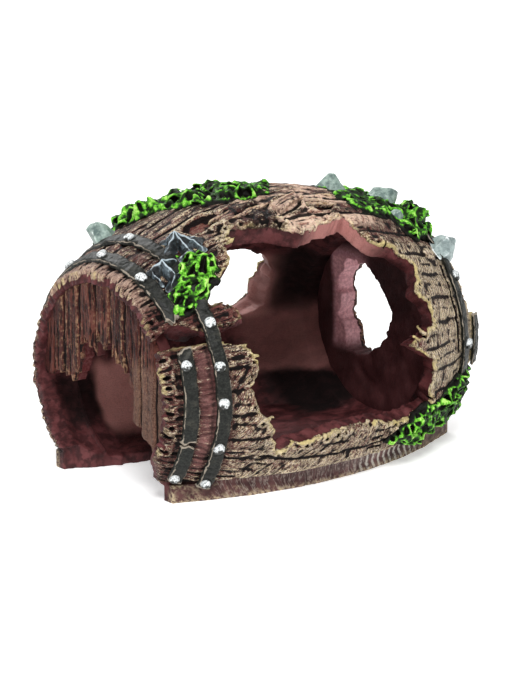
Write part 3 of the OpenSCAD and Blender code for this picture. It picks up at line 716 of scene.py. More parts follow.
def stave_relief(calm):
    """Seams, steps from stave to stave, grain and cracks."""
    right = step(17, 22, X) * span(A, 18, 24, 104, 112)
    front = span(X, -38, -37, -25, -20) * step(64, 70, A)
    planks = span(X, -34, -28, 22, 28) * span(A, -24, -12, 31, 36)
    tilt = (in_stave - 0.5) * (stave_draws[1][SI] - 0.5) * 0.8
    h = 0.55 * span(A, -50, -36, 24, 34) - 0.2 * stave_draws[0][SI] + tilt
    keep = (0.55 + 0.6 * noise2(X / 7, stave_i * 3.3, 35)) * (1 - 0.85 * calm)
    keep = np.clip(np.maximum(keep, 0.5 * right), 0.06, 1.05)
    h = h - (0.72 - 0.28 * np.maximum(right, front)) * bell(seam_d, 0.32) * keep
    h = h - 0.22 * bell(seam_d, 1.0)
    second = np.maximum.reduce([
        step(14, 20, X) * step(22, 28, A),
        step(96, 100, A) * step(-38, -30, X),
        span(X, -38, -36, -28, -25) * step(72, 76, A)])
    second = second * bell(middle_d, 0.24) * np.clip(0.6 + noise2(X / 5, A / 8, 36), 0.1, 1)
    h = h - (0.5 - 0.32 * right - 0.15 * front) * second
    sharp = 0.19 * (1 - 2 * np.abs(noise2(LIE_U / 1.05, LIE_V / 9, 37)))
    sharp = sharp + 0.17 * (1 - 2 * np.abs(noise2(LIE_U / 0.8, LIE_V / 5, 38)))
    sharp = sharp * (1 - 0.6 * calm) * np.where(CROSS, 0.8, 1.0)
    h = h + sharp * (1 - 0.4 * right) * (1 - 0.5 * planks)
    h = h + 0.2 * noise2(LIE_U / 2.3, LIE_V / 19, 39) + 0.26 * fbm2(X / 8, S / 8, 40)
    h = h + 0.2 * noise2(X / 1.6, S / 1.6, 43) * (1 - 0.5 * calm) * (1 - 0.6 * planks)
    crack = step(0.66, 0.85, noise2(S / 0.85, X / 9, 44)) * step(-0.2, 0.3, noise2(X / 9, S / 9, 45))
    return h - 0.75 * crack * (1 - calm) * (1 - right) * (1 - 0.6 * planks)


def edge_relief(h, calm):
    """Knobbly broken edges with small holes, the left rim's lumps, and coral-like rings."""
    left = bell(X + HALF + 0.4, 1.7) * span(A, -70, -50, 118, 128)
    lumps = 0.5 * noise2(X / 1.1, S / 1.1, 46) + 0.1
    holes = step(0.42, 0.7, noise2(X / 0.95 + 30, S / 0.95, 57))
    h = h + bell(OPEN_OUT, 1.4) * (lumps - 0.9 * holes) + left * (lumps - 0.8 * holes)
    knob = span(X, -54, -53, -51.6, -50.8) * span(A, 40, 44, 112, 118)
    h = h + knob * 0.45 * np.cos((A - 45 + 3 * noise2(X / 3, A / 9, 68)) / 7.5 * 2 * math.pi)
    h = h + calm * 0.22 * np.sin(S * 2 * math.pi / 1.9 + 2.2 * noise2(X / 3, S / 5, 59))
    wander = 0.2 * noise2(X / 0.9, S / 0.9, 60)
    for x, a, size in ring_places():
        q = np.hypot(X - x, (S - arc_mm(a)) * (1 + 0.25 * math.sin(x * 7))) + wander
        h = np.where(q < size * 1.5, np.maximum(h, -0.4), h)
        h = h + 0.75 * bell(q - size, 0.42) - 1.9 * step(size * 0.78, size * 0.45, q)
    return h


def roof_relief(h, lump):
    """The dark broken lump with a hole, ridges, a boss, recessed places and the loose board's outline."""
    h = h + lump * (0.5 + 0.9 * noise2(X / 1.7, S / 1.7, 47) + 0.5 * noise2(X / 0.7, S / 2.5, 48))
    hole = np.hypot(X + 7.4, S - arc_mm(25.6))
    h = h - 2.4 * step(1.3, 0.6, hole) + 0.6 * bell(hole - 1.8, 0.5)
    wander = 0.35 * noise2(X / 2, S / 1.2, 49)
    for p, q, width, up in RIDGES:
        d, k = segment_d(X, S, *skin_mm((p, q)))
        h = h + up * bell(d + wander, width) * step(0, 0.12, k) * step(1, 0.85, k)
    h = h + 1.3 * step(3.0, 1.2, BOSS_D)
    wander = 0.06 * noise2(X / 1.4, S / 1.4, 67)
    for *place, down in HOLLOWS:
        q = hollow_q(*place) + wander
        h = h - down * step(1.12, 0.85, q) + 0.35 * bell(q - 1.22, 0.12)
    return h + 0.8 * bell(BOARD_D, 0.5) - 0.9 * bell(BOARD_D + 1.1, 0.4)


def relief_maps():
    """Height over the plain skin, and where it is smooth, broken into a lump, or slit."""
    calm = span(X, -46, -44.6, -43, -41.6) * span(A, 66, 70, 118, 124)
    calm = np.maximum(calm, span(X, -46, -44.5, -39, -37) * span(A, 64, 68, 104, 112))
    lump = span(X, -17.5, -14.5, -8, -5.5) * span(A, 9, 13, 28, 31)
    slit = span(X, 44.2, 45.0, 46.0, 46.6) * span(A, 48, 52, 88, 96)
    h = roof_relief(edge_relief(stave_relief(calm), calm), lump)
    for x in (HOOP_A, HOOP_B, HOOP_C):
        h = h - 0.35 * np.exp(-(((X - x + 0.2) / 2.4) ** 6))
    return [q.astype(f4) for q in (np.clip(h - 1.2 * slit, -3.6, 1.9), calm, lump, slit)]


RELIEF, CALM, LUMP, SLIT = relief_maps()


def rim_lines():
    """Where the staves end, by angle: at the left and at the right."""
    left = -HALF + 1.3 * stave_draws[2][SI] + 0.55 * noise2(S / 1.3, S * 0 + 3, 50)
    left = left + 0.3 * noise2(S / 0.6, S * 0, 51)
    right = HALF - 1.3 * stave_draws[2][(SI + 7) % 64] - 0.4 * noise2(S / 1.2, S * 0 + 5, 52)
    for k, reach in LONG_REACH.items():
        right = np.where(stave_i == k, HALF + reach + 0.6 * noise2(S / 0.8, S * 0, 53) - 0.6, right)
    return np.maximum(left[0], -HALF + 0.05), right[0]


LEFT_X, RIGHT_X = rim_lines()
# The two larger recessed places, painted red-brown
RED = np.maximum(*(step(1.15, 0.95, hollow_q(*place)) for *place, _ in HOLLOWS[:2])).astype(f4)


def bare_map():
    """Wood rubbed bare: on the roof, on the boss and at the left rim."""
    back = 0.9 * np.abs(X - 8)
    b = span(X, -22, -8, 24, 30) * step(-14 + back, -6 + back, A) * step(33, 29, A)
    b = np.maximum.reduce([
        b * step(0.0, 0.25, 0.42 + noise2(X / 9, S / 2.4, 54)),
        span(X, 1, 4, 9, 12) * span(A, 21.5, 23, 33, 36),
        0.8 * step(3.0, 1.6, BOSS_D)])
    b = np.clip(b - LUMP - RED, 0, 1)
    return np.maximum(b, 0.45 * step(-47.6, -50.6, X) * span(A, -60, -40, 30, 44)).astype(f4)


def stain_and_shade_map():
    """Dark wash round the moss and on the lump, and painted shade beside the hoops, round the loose board
    and in the slit.
    """
    s = np.maximum.reduce([
        0.8 * span(X, -36, -33, 2, 10) * step(16, -2, A + 0.42 * (-13 - X)) * step(-44, -30, A),
        0.75 * step(24, 30, X) * step(-20, -8, A) * step(32, 22, A - 0.35 * (X - 27)),
        0.95 * span(X, -47, -44, -31, -29) * span(A, 20, 26, 44, 50),
        0.9 * step(14, 22, X) * step(104, 110, A) * step(0, 0.4, noise2(X / 4, S / 4, 55) + 0.35)])
    s = s * (0.55 + 0.45 * noise2(X / 2.4, S / 2.4, 56)) * 1.1
    # painted shade beside each hoop; below, also round the loose board's outline and in the slit
    beside = [0.85 * bell(np.abs(X - x) - 2.1, 0.5) for x in (HOOP_A, HOOP_B, HOOP_C)]
    s = np.maximum.reduce([s, 0.92 * LUMP, 0.9 * bell(BOARD_D + 1.1, 0.5), 0.95 * SLIT] + beside)
    return np.clip(s, 0, 1).astype(f4)


def rim_map():
    """Cream on the broken edges and on both rims."""
    m = bell(np.maximum(-OPEN_OUT, 0), 0.6) * np.clip(0.55 + 0.8 * noise2(X / 3.2, S / 3.2, 65), 0.12, 1)
    m = m * (1 - 0.8 * step(-22, -25, X) * span(A, 36, 42, 60, 66))
    m = m * (1 - 0.8 * span(X, -21, -18, 15, 20) * span(A, 10, 16, 40, 46))
    worn = np.clip(0.35 + 1.1 * noise2(X, S / 2.2, 66), 0.0, 1)
    left = 0.65 * step(-53.0, -53.6, X) * span(A, -70, -40, 128, 134) * worn
    return np.maximum.reduce([m, left, 0.7 * step(52.3, 53.4, X)]).astype(f4)


def dry_map():
    """How much cream the dry brush leaves: most on the right and by the window, least on the roof."""
    d = np.maximum.reduce([
        np.full(X.shape, 0.4, f4),
        0.95 * step(24, 30, X) * span(A, 34, 42, 100, 108),
        (0.44 + 0.26 * step(84, 96, A)) * span(X, -38, -36, -27, -22) * step(66, 72, A),
        0.72 * step(96, 104, A) * span(X, -38, -32, 12, 30),
        0.62 * span(X, -38, -33, -20, -16) * span(A, -4, 3, 24, 30)])
    d = d - 0.12 * step(-46, -49, X) - 0.3 * LUMP - 0.25 * step(-22, -25, X) * span(A, 36, 42, 60, 66)
    return np.clip(d + 0.12 * noise2(X / 6, S / 6, 58), 0, 1).astype(f4)


SKIN_MAPS = {"dry": dry_map(), "rim": rim_map(), "calm": CALM, "red": RED}
BARE, STAIN_AND_SHADE = bare_map(), stain_and_shade_map()


def on_map(M, x, a):
    """Values of a map at places on the skin."""
    p = np.clip((x - MX[0]) / MAP, 0, len(MX) - 1.001)
    q = np.clip((a - MA[0]) / MAP, 0, len(MA) - 1.001)
    i, j = p.astype(int), q.astype(int)
    f, g = p - i, q - j
    near = M[i, j] * (1 - f) * (1 - g) + M[i + 1, j] * f * (1 - g)
    return near + M[i, j + 1] * (1 - f) * g + M[i + 1, j + 1] * f * g


# ---------------------------------------------------------------- the barrel
def barrel_walls(xs, ys, zs, noises):
    """The walls with their relief, the foot, the hollow and the openings, as a field negative inside."""
    Y, Z = np.meshgrid(ys, zs, indexing="ij")
    r = np.hypot(Y, Z - AXIS)
    r_in = np.hypot(Y + SHIFT, Z - AXIS)
    a = np.degrees(np.arctan2(-Y, Z - AXIS))
    q = np.clip((a - MA[0]) / MAP, 0, len(MA) - 1.001)
    j = q.astype(int)
    g = (q - j).astype(f4)

    def row(line):
        return line[j] * (1 - g) + line[j + 1] * g

    left_x, right_x = row(LEFT_X), row(RIGHT_X)
    left_ledge, right_ledge = -HALF + RECESS + LEFT_T + FIT, HALF - RECESS - RIGHT_T - FIT
    F = np.empty((len(xs), len(ys), len(zs)), f4)
    for n, x in enumerate(xs):
        wide, mid, small = (q[n] for q in noises)
        p = (x - MX[0]) / MAP
        i, f = int(p), p - int(p)
        relief, out_cut, in_cut = (row(M[i] * (1 - f) + M[i + 1] * f) for M in (RELIEF, OPEN_OUT, OPEN_IN))
        R = float(radius(x))
        # the outer face: the staves stop above the foot
        h = np.where(Z < FOOT_H + GROOVE, np.minimum(relief, -0.9), relief)
        d = (r - R - h) * math.cos(slope(x))
        d = np.maximum(d, np.maximum(left_x - x, x - right_x))
        if x > HALF - RECESS:
            d = np.maximum(d, R - 3.2 - r)
        foot = np.abs(Y) - foot_half(x) - 0.25 * mid - 0.15 * small
        foot = np.maximum(foot, Z - FOOT_H + 0.12 * small)
        foot = np.maximum(foot, np.maximum(np.where(Y > 0, -51.7, -47.5) - x, x - HALF + 1.4))
        d = np.minimum(d, foot)
        # the hollow, with a ledge and a mouth at each end
        soft = 0.45 * wide + 0.16 * mid + 0.05 * small
        cone = LEDGE + 1.3 + 1.45 * max(min(HOLLOW_R + 0.4 - x, x - HOLLOW_L - 0.4), 0.0)
        hollow = r_in - np.minimum(radius(np.clip(x, HOLLOW_L, HOLLOW_R)) - WALL, cone) - soft
        if x < HOLLOW_L + 1.5 or x > HOLLOW_R - 0.5:
            hollow = np.maximum(hollow, 0.3)
        if x <= left_ledge or x >= right_ledge:
            tube = r - MOUTH
        else:
            ends = max(0.0, (x - 38) / 7) + max(0.0, (-41 - x) / 7)
            tube = r - LEDGE - 0.5 * soft - 1.6 * max(0.0, 1 - ends)
        hollow = np.maximum(np.minimum(hollow, tube), FLOOR_T + 0.35 * wide + 0.1 * mid - Z)
        d = np.maximum(d, -hollow)
        # openings in the wall
        depth = step(1.5, 4.5, R - r)
        cut = out_cut * (1 - depth) + in_cut * depth
        cut = cut * np.clip(r / ARC_R, 0.4, 1.1) + 0.22 * mid + 0.12 * small
        F[n] = np.maximum(d, np.where(r > 12, cut, -5))
    return F


def cut_left_end(F, xs, ys, zs, wide):
    """Takes away the floor inside the arch, the ledge where it has no head, and the front corner."""
    u, v = warped(*np.meshgrid(xs, ys, indexing="ij"), 71, 0.7, 0.3)
    gap = -outline_sd(u, v, FLOOR_GAP)
    top = np.where(xs < -45, 6.6, 4.3).astype(f4)
    F = np.maximum(F, np.minimum(gap[:, :, None], top[:, None, None] - zs))
    Y, Z = np.meshgrid(ys, zs, indexing="ij")
    arch = -outline_sd(Y, Z, ARCH)
    open_r = MOUTH + 1.6 * step(-50, -44, xs) + 0.5 * wide[:, 0, 0]
    arch = np.minimum(arch, open_r[:, None, None] - np.hypot(Y, Z - AXIS))
    F = np.maximum(F, np.minimum(arch, (-41 - xs)[:, None, None]))
    XX, ZZ = np.meshgrid(xs, zs, indexing="ij")
    corner = -outline_sd(*warped(XX, ZZ, 75, 0.5, 0.3), CORNER)
    F = np.maximum(F, np.minimum(corner[:, None, :], (-4 - ys)[None, :, None]))
    for j in np.flatnonzero((ys > -23) & (ys < -9)):
        slanted = -outline_sd(*warped(XX - 0.8 * (ys[j] + 22), ZZ, 75, 0.5, 0.3), SLANTED)
        F[:, j] = np.maximum(F[:, j], slanted)
    return F


def add_stub(F, xs, ys, zs, mid, small):
    """Adds the round stub of wood under the inner hoop, hollow at its end."""
    P0, _, _, O0 = skin_frame(-40.5, 56.5)
    P1, _, _, O1 = skin_frame(-31.2, 55.2)
    start = P0 - 3.0 * O0
    e = P1 - 2.2 * O1 - start
    long = np.linalg.norm(e)
    here = slice(*np.searchsorted(xs, (-43, -27)))
    G = np.stack(np.meshgrid(xs[here], ys, zs, indexing="ij"), -1) - start.astype(f4)
    t = np.clip((G @ e.astype(f4)) / (e @ e), 0, 1)
    round_d = np.linalg.norm(G - t[..., None] * e.astype(f4), axis=-1) - 2.35
    round_d = round_d - 0.3 * mid[here] - 0.2 * small[here]
    end_d = G @ (e / long).astype(f4) - long
    cup = np.linalg.norm(G - e.astype(f4), axis=-1) - 1.35
    F[here] = np.minimum(F[here], np.maximum(np.maximum(round_d, end_d), -cup))
    return F


def paint_barrel(me, V, near, far):
    """The attributes that the wood's paint follows."""
    x, y, z = V.T
    r = np.hypot(y, z - AXIS)
    a = np.degrees(np.arctan2(-y, z - AXIS))
    R = radius(x)
    under = R + np.minimum(on_map(RELIEF, x, a), 0) - r
    near_rim = step(-52.6, -53.4, x)
    beyond_foot = np.abs(y) - foot_half(x)
    foot = step(FOOT_H + 0.7, FOOT_H + 0.3, z) * step(-1.6, -0.9, beyond_foot)
    deep = step(0.35 + 0.35 * near_rim, 1.0 + 0.8 * near_rim, under)
    deep = np.where(z < FOOT_H + 0.7, 1 - step(-2.0, -1.2, beyond_foot), deep)
    wave = 2.5 * noise2(x / 5, a / 9, 64)
    back_wall = step(14, 26, x + wave) * step(48, 43, x) * step(-78, -90, a) * step(-136, -126, a - wave)
    back_wall = back_wall * step(9.5, 12.5, z + 0.4 * wave)
    # painted light inside, where light falls through the openings
    glow = np.maximum.reduce([
        step(-35, -31, x + 0.6 * wave) * step(-9, -16, x) * step(-96, -104, a + wave) * step(-138, -128, a),
        0.8 * span(x, 20, 25, 31, 36) * span(a, -97, -90, -62, -56),
        0.55 * span(x, -26, -16, 26, 34) * step(-8, -14, y) * step(15, 11, z),
        0.34 * back_wall * step(40, 26, z - 0.2 * x),
        0.62 * span(x, -4, 6, 20, 27) * span(a, 8, 16, 36, 46) * step(9, 6, R - r)])
    # painted shade inside, in the dark corners and the recess low at the right
    left_foot = step(-50, -45, x) * step(-30.5, -34.5, x + wave) * step(10, 16, y)
    gloom = np.maximum.reduce([
        0.85 * step(27, 34, x + wave) * step(-44, -52, a) * step(25, 31, z + wave),
        0.72 * left_foot * step(9, 12, z + 0.5 * wave) * step(25, 21, z),
        0.55 * step(30, 36, x) * span(a, 10, 30, 130, 150),
        0.94 * step(22, 30, x + wave) * step(12.5, 10.5, z + 0.4 * wave) * step(6, 11, y)])
    put_bends(me, near, far, (2.2, 0.35), (3.0, 0.6))
    for name, values in (("deep", deep), ("foot", foot), ("glow", glow), ("gloom", gloom)):
        put(me, name, values)
    for name, M in SKIN_MAPS.items():
        put(me, name, on_map(M, x, a))
    put(me, "stain", on_map(STAIN_AND_SHADE, x, a) * (1 - deep))
    bars = span(x, 2, 12, 30, 38) * step(0, -5, y)
    put(me, "bare", np.where(foot > 0.5, bars, on_map(BARE, x, a)))
    put(me, "skin", np.stack([x, arc_mm(a), R - r], 1))
    i = np.clip(np.rint((x - MX[0]) / MAP), 0, len(MX) - 1).astype(int)
    j = np.clip(np.rint((a - MA[0]) / MAP), 0, len(MA) - 1).astype(int)
    lie = np.stack([LIE_U[i, j] * HATCH[i, j], LIE_V[i, j], R - r], 1)
    upright = np.stack([x * 0.85 + 0.4 * z, z, 0 * x], 1)
    put(me, "lie", np.where((foot > 0.5)[:, None], upright, lie))


def barrel():
    """The cast barrel: one field cut open on all sides, made into a mesh and painted."""
    cell = 0.36
    xs = np.arange(-54.6, 60.4, cell).astype(f4)
    ys = np.arange(-46.2, 46.2, cell).astype(f4)
    zs = np.arange(-1.0, 75.4, cell).astype(f4)
    wide, mid, small = (noise3(xs, ys, zs, pitch, seed) for pitch, seed in ((9.0, 61), (3.2, 62), (1.3, 63)))
    F = barrel_walls(xs, ys, zs, (wide, mid, small))
    F = cut_left_end(F, xs, ys, zs, wide)
    F = add_stub(F, xs, ys, zs, mid, small)
    F = np.maximum(F, -zs)  # flat underneath
    lo = (xs[0], ys[0], zs[0])
    V, Q = nets(F, lo, cell)
    V[:, 2] = np.maximum(V[:, 2], 0)
    me = thin(make_mesh("barrel", V, Q), BARREL_FACES)
    V = coords_of(me)
    # edges and pits are looked for over windows of about 0.7 and 1.9 mm, in cells
    windows = max(1, round(0.7 / cell)), max(2, round(1.9 / cell))
    paint_barrel(me, V, *bends(F, lo, cell, V, 2.5, *windows))
    piece("barrel", me, WOOD, "shell")


# ---------------------------------------------------------------- heads
def head(name, node, side, thick, outline, material, seed):
    """A head of upright boards with a broken outline. side is -1 for the left one."""
    left = side < 0
    x_out = side * HEAD_X
    x_in = x_out - side * thick
    cell = 0.32
    xs = np.arange(min(x_out, x_in) - 2.6, max(x_out, x_in) + 2.6, cell).astype(f4)
    ys = np.arange(-28, 28.01, cell).astype(f4)
    zs = np.arange(3 if left else 1.5, 56.5, cell).astype(f4)
    Y, Z = np.meshgrid(ys, zs, indexing="ij")
    r = np.hypot(Y, Z - AXIS)
    board = Y / BOARD_W + 0.5 + 0.05 * noise2(Y / 9, Z / 9, seed)
    in_board = board - np.floor(board)
    rnd = np.random.default_rng(seed).random((3, 32))
    number = (np.floor(board) + 10).astype(int)
    seam = np.minimum(in_board, 1 - in_board) * BOARD_W
    relief = 0.7 * (rnd[0][number] - 0.5) - (1.3 if left else 0.4) * bell(seam, 0.5)
    streak = noise2(Y / 0.8, Z / 13, seed + 1) * 0.3 + noise2(Y / 0.45, Z / 6, seed + 2) * 0.18
    crack = -1.2 * step(0.5, 0.8, noise2(Y / 1.0, Z / 30, seed + 3))
    panel = step(-13, -15, Y) * step(38, 34, Z)
    relief = relief + (1.0 if left else 0.6) * (streak + crack) * (1 - 0.75 * panel)
    relief = relief + 0.25 * fbm2(Y / 5, Z / 9, seed + 4) + 0.1 * noise2(Y / 0.8, Z / 0.8, seed + 8)
    back = 0.35 * fbm2(Y / 7, Z / 7, seed + 5) + (0.4 if left else 1.1) * step(17, 24.5, r)
    if left:
        # the broken lower ends of the boards
        fall = 2.6 * noise2(Y / 1.3, Y * 0 + 5, seed + 6) + 1.4 * noise2(Y / 0.6, Y * 0 + 9, seed + 7)
        fall = (fall + 2.0 * (rnd[1][number] - 0.5)) * step(22, 27, Z)
        u, v = warped(Y, Z, seed + 20, 0.5, 0.25)
        cut = -outline_sd(u, v + fall, outline)
    else:
        cut = -outline_sd(*warped(Y, Z, seed + 20, 0.7, 0.35), outline)
    F = np.empty((len(xs), len(ys), len(zs)), f4)
    for n, (x, rough) in enumerate(zip(xs, 0.2 * noise3(xs, ys, zs, 2.6, seed + 9))):
        faces = np.maximum(side * (x - x_out) - relief, -side * (x - x_in) - back - rough)
        F[n] = np.maximum(np.maximum(faces, r - (MOUTH + 0.1)), cut + rough)
    if not left:
        F = np.maximum(F, FLOOR_T - zs)
    lo = (xs[0], ys[0], zs[0])
    me = thin(make_mesh(name, *nets(F, lo, cell)), HEAD_FACES)
    V = coords_of(me)
    x, y, z = V.T
    put_bends(me, *bends(F, lo, cell, V, 2, 1, 4), (3.2, 0.5), (3.6, 0.8))
    put(me, "deep", step(1.0, 1.8, -side * (x - x_out)))
    tone = rnd[2][np.clip(np.floor(y / BOARD_W + 0.5) + 10, 0, 31).astype(int)]
    tone = (0.25 + 0.85 * tone) * step(14, 32, z) * step(22, 16, np.abs(y))
    put(me, "tone", tone if left else np.ones(len(V)))
    put(me, "flat", step(-12, -15, y) * step(40, 34, z) * float(left))
    # painted light on the inner face, where light falls on it through the openings
    put(me, "lit", step(3, 9, y) * step(19.8, 17.8, y) * span(z, 17, 22, 44, 50))
    put(me, "skin", V)
    piece(name, me, material, node)


# ---------------------------------------------------------------- hoops and rivets
def strip_section(count):
    """A hoop's section: points across and up from 0 to 1, and how worn each is."""
    half = HOOP_W / 2
    around = 2 * (HOOP_W + HOOP_T)
    pts, worn = [], []
    for q in np.linspace(0, 1, count, endpoint=False) * around:
        if q < HOOP_W:
            u, v, e = -half + q, 1.0, min(q, HOOP_W - q)
        elif q < HOOP_W + HOOP_T:
            u, v, e = half, 1 - (q - HOOP_W) / HOOP_T, q - HOOP_W
        elif q < 2 * HOOP_W + HOOP_T:
            u, v, e = half - (q - HOOP_W - HOOP_T), 0.0, around
        else:
            u, v, e = -half, (q - 2 * HOOP_W - HOOP_T) / HOOP_T, around - q
        pts.append((u, v))
        worn.append(max(0.0, 1 - e / 0.4))
    return np.array(pts).T, np.array(worn)


def hoop(name, node, x0, a0, a1, seed, ragged=(0.0, 0.0)):
    """A hoop band bent round the staves, with dents and worn edges. ragged is how torn its ends are."""
    steps = max(6, int((a1 - a0) / (0.45)))
    t = np.linspace(0, 1, steps)[:, None]
    ang = a0 + (a1 - a0) * t
    (across, up), worn = strip_section(28)
    m = len(worn)
    s = arc_mm(ang) + 0 * across
    u, v = across + 0 * s, up + 0 * s
    side = np.sign(u) * step(0.9, 1.7, np.abs(u))
    u = u + 0.2 * noise2(s / 2.6, side * 3 + 5, seed)
    u = u + 0.12 * noise2(s / 0.8, side * 3 + 5, seed + 1) * np.abs(side)
    u = u + 0.35 * noise2(s / 14, s * 0, seed + 2)
    dents = 0.16 * noise2(s / 2.2, u / 1.6, seed + 3) + 0.1 * noise2(s / 0.7, u / 0.7, seed + 4)
    dents = dents - 0.2 * step(1.2, 1.7, np.abs(across))
    dents = dents - 0.3 * step(0.55, 0.8, noise2(s / 0.9, u / 0.9, seed + 5))
    lift = FIT + HOOP_T * v + v * dents
    tear = ragged[0] * step(0.12, 0, t) + ragged[1] * step(0.88, 1, t)
    a = np.radians(ang + tear * noise2(u / 1.1, u * 0 + 2, seed + 6))
    x = x0 + u
    r = radius(x) + lift
    P = np.stack([x, -r * np.sin(a), np.maximum(AXIS + r * np.cos(a), 0.35)], -1)
    V = np.vstack([P.reshape(-1, 3), P[0].mean(0), P[-1].mean(0)])
    ring = np.arange(steps * m).reshape(steps, m)
    after = np.roll(ring, -1, 1)
    faces = np.stack([ring[:-1], after[:-1], after[1:], ring[1:]], -1).reshape(-1, 4).tolist()
    faces += [(q, p, steps * m) for p, q in zip(ring[0].tolist(), after[0].tolist())]
    faces += [(p, q, steps * m + 1) for p, q in zip(ring[-1].tolist(), after[-1].tolist())]
    me = listed_mesh(name, V, faces)
    end = np.minimum(ang - a0, a1 - ang) * 0.75
    edge = np.maximum(worn * (0.75 + 0.45 * noise2(s / 1.8, u, seed + 7)), step(1.2, 0.1, end) * 0.9)
    put(me, "edge", np.clip(np.append(edge.ravel(), [0.6, 0.6]), 0, 1))
    skin = np.stack([x.ravel(), s.ravel(), lift.ravel() * 2], -1)
    put(me, "skin", np.vstack([skin, [[x0, 0, 0], [x0, 9, 0]]]))
    piece(name, me, HOOP, node)


def rivets(name, node, x0, places, seed):
    """Round, slightly dented rivet heads along a hoop. Each place is an offset in x and an angle."""
    rings, seg = 9, 22
    th = np.linspace(0, 2 * math.pi, seg, endpoint=False)
    c, s = np.cos(th), np.sin(th)
    heads, faces, highlight_heights = [], [], []
    for n, (dx, a) in enumerate(places):
        o, u, v, w = skin_frame(x0 + dx, a)
        o = o + RIVET_LIFT * w
        wobble = 1 + 0.16 * noise2(c * 1.3 + 5 + n * 7, s * 1.3 + 5, seed)
        base = sum(len(q) for q in heads)
        points = []
        for k in range(rings):
            q = k / (rings - 1) * math.pi / 2
            rad = 1.5 * math.sin(q) * wobble
            up = math.cos(q) ** 0.7 * (1 + 0.12 * noise2(rad * c * 1.6 + n * 9, rad * s * 1.6, seed + 1))
            if k == 0:
                points.append((o + w * float(up.mean()))[None])
                continue
            if k == rings - 1:
                up = up * 0 - 0.15
            points.append(o + np.outer(rad * c, u) + np.outer(rad * s, v) + np.outer(up, w))
        heads.append(np.vstack(points))
        # height over the rivet's middle, which places the painted highlight on top and the painted shade
        # below
        highlight_heights.append((heads[-1][:, 2] - o[2]) / 3.0 + 0.5)
        loop = [(i, (i + 1) % seg) for i in range(seg)]
        faces += [(base, base + 1 + i, base + 1 + j) for i, j in loop]
        for b in range(base + 1, base + 1 + (rings - 2) * seg, seg):
            faces += [(b + i, b + seg + i, b + seg + j, b + j) for i, j in loop]
        last = base + 1 + (rings - 2) * seg
        faces.append(tuple(last + i for i in range(seg))[::-1])
    V = np.vstack(heads)
    me = listed_mesh(name, V, faces)
    put(me, "skin", V)
    put(me, "up", np.concatenate(highlight_heights))
    piece(name, me, RIVET, node)


# ---------------------------------------------------------------- stones and rocks
def carve(name, node, spot, box, field, material, cell=0.24, sharp=1.0):
    """A small piece from a field in the skin's own frame at a place: along, across, out."""
    o, u, v, w = skin_frame(*spot)
    axes = [np.arange(lo - 3 * cell, hi + 3 * cell, cell).astype(f4) for lo, hi in box]
    F = field(*np.meshgrid(*axes, indexing="ij"), axes).astype(f4)
    lo = [q[0] for q in axes]
    V, Q = nets(F, lo, cell)
    W = o + V[:, :1] * u + V[:, 1:2] * v + V[:, 2:] * w
    me = make_mesh(name, W, Q)
    put_bends(me, *bends(F, lo, cell, V, 1.6, 1, 3), (3.4 * sharp, 0.6 * sharp), (3.2, 0.6))
    put(me, "skin", W)
    piece(name, me, material, node)


def facets(seed, count, size):
    """A field of flat facets round a stone that sits on its seat."""
    rnd = np.random.default_rng(seed)
    dirs = rnd.normal(size=(count, 3))
    dirs[:, 2] = np.abs(dirs[:, 2]) * 0.9
    dirs /= np.linalg.norm(dirs, axis=1)[:, None]
    far = rnd.uniform(0.86, 1.04, count)
    half = np.array([size[0] / 2, size[1] / 2, size[2]])

    def field(u, v, w, axes):
        reaches = [math.sqrt(((n * half) ** 2).sum()) * k for n, k in zip(dirs, far)]
        d = np.maximum.reduce([u * n[0] + v * n[1] + w * n[2] - reach for n, reach in zip(dirs, reaches)])
        return np.maximum(d + 0.18 * noise3(*axes, 1.4, seed + 1), -w - 0.2)

    return field


def stone(name, node, x, a, size, seed, material=STONE):
    """A stone at x and angle a, of a length, a width and a height."""
    half = (size[0] / 2 + 0.6, size[1] / 2 + 0.6)
    box = ((-half[0], half[0]), (-half[1], half[1]), (-0.4, size[2] + 0.6))
    carve(name, node, (x, a), box, facets(seed, 15, size), material)


def crag(name, node, spot, box, ridges, seed):
    """Sharp creased rock: ridges that run down from peaks. Each ridge is two ends and a width."""

    def field(u, v, w, axes):
        d = np.full(u.shape, 9.0)
        wu = u + 0.35 * noise3(*axes, 1.8, seed)
        wv = v + 0.35 * noise3(*axes, 1.6, seed + 1)
        for p, q, width in ridges:
            off, t = segment_d(wu, wv, p, q)
            top = p[2] + (q[2] - p[2]) * t
            d = np.minimum(d, (w - top + off * (top / width)) * 0.62)
        return np.maximum(d + 0.14 * noise3(*axes, 0.9, seed + 2), -w - 0.3)

    carve(name, node, spot, box, field, ROCK, 0.2, 1.5)


# ---------------------------------------------------------------- moss
def cell_walls(U, V, W, pitch, seed):
    """Half the difference of the distances to the two nearest of scattered points."""
    rnd = np.random.default_rng(seed).random((32, 32, 32, 3)).astype(f4)
    iu, iv, iw = (np.floor(q / pitch).astype(int) for q in (U, V, W))
    first = np.full(U.shape, 1e9, f4)
    second = np.full(U.shape, 1e9, f4)
    for a, b, c in itertools.product((-1, 0, 1), repeat=3):
        i, j, k = iu + a, iv + b, iw + c
        p = rnd[i & 31, j & 31, k & 31]
        d = (U / pitch - i - p[..., 0]) ** 2 + (V / pitch - j - p[..., 1]) ** 2
        d = d + (W / pitch - k - p[..., 2]) ** 2
        second = np.minimum(second, np.maximum(first, d))
        first = np.minimum(first, d)
    return (np.sqrt(second) * pitch - np.sqrt(first) * pitch) / 2


def nearest(V, points):
    """The nearest of some points to each vertex, by number."""
    tree = KDTree(len(points))
    for i, p in enumerate(points.tolist()):
        tree.insert(p, i)
    tree.balance()
    return np.array([tree.find(p)[1] for p in V.tolist()])


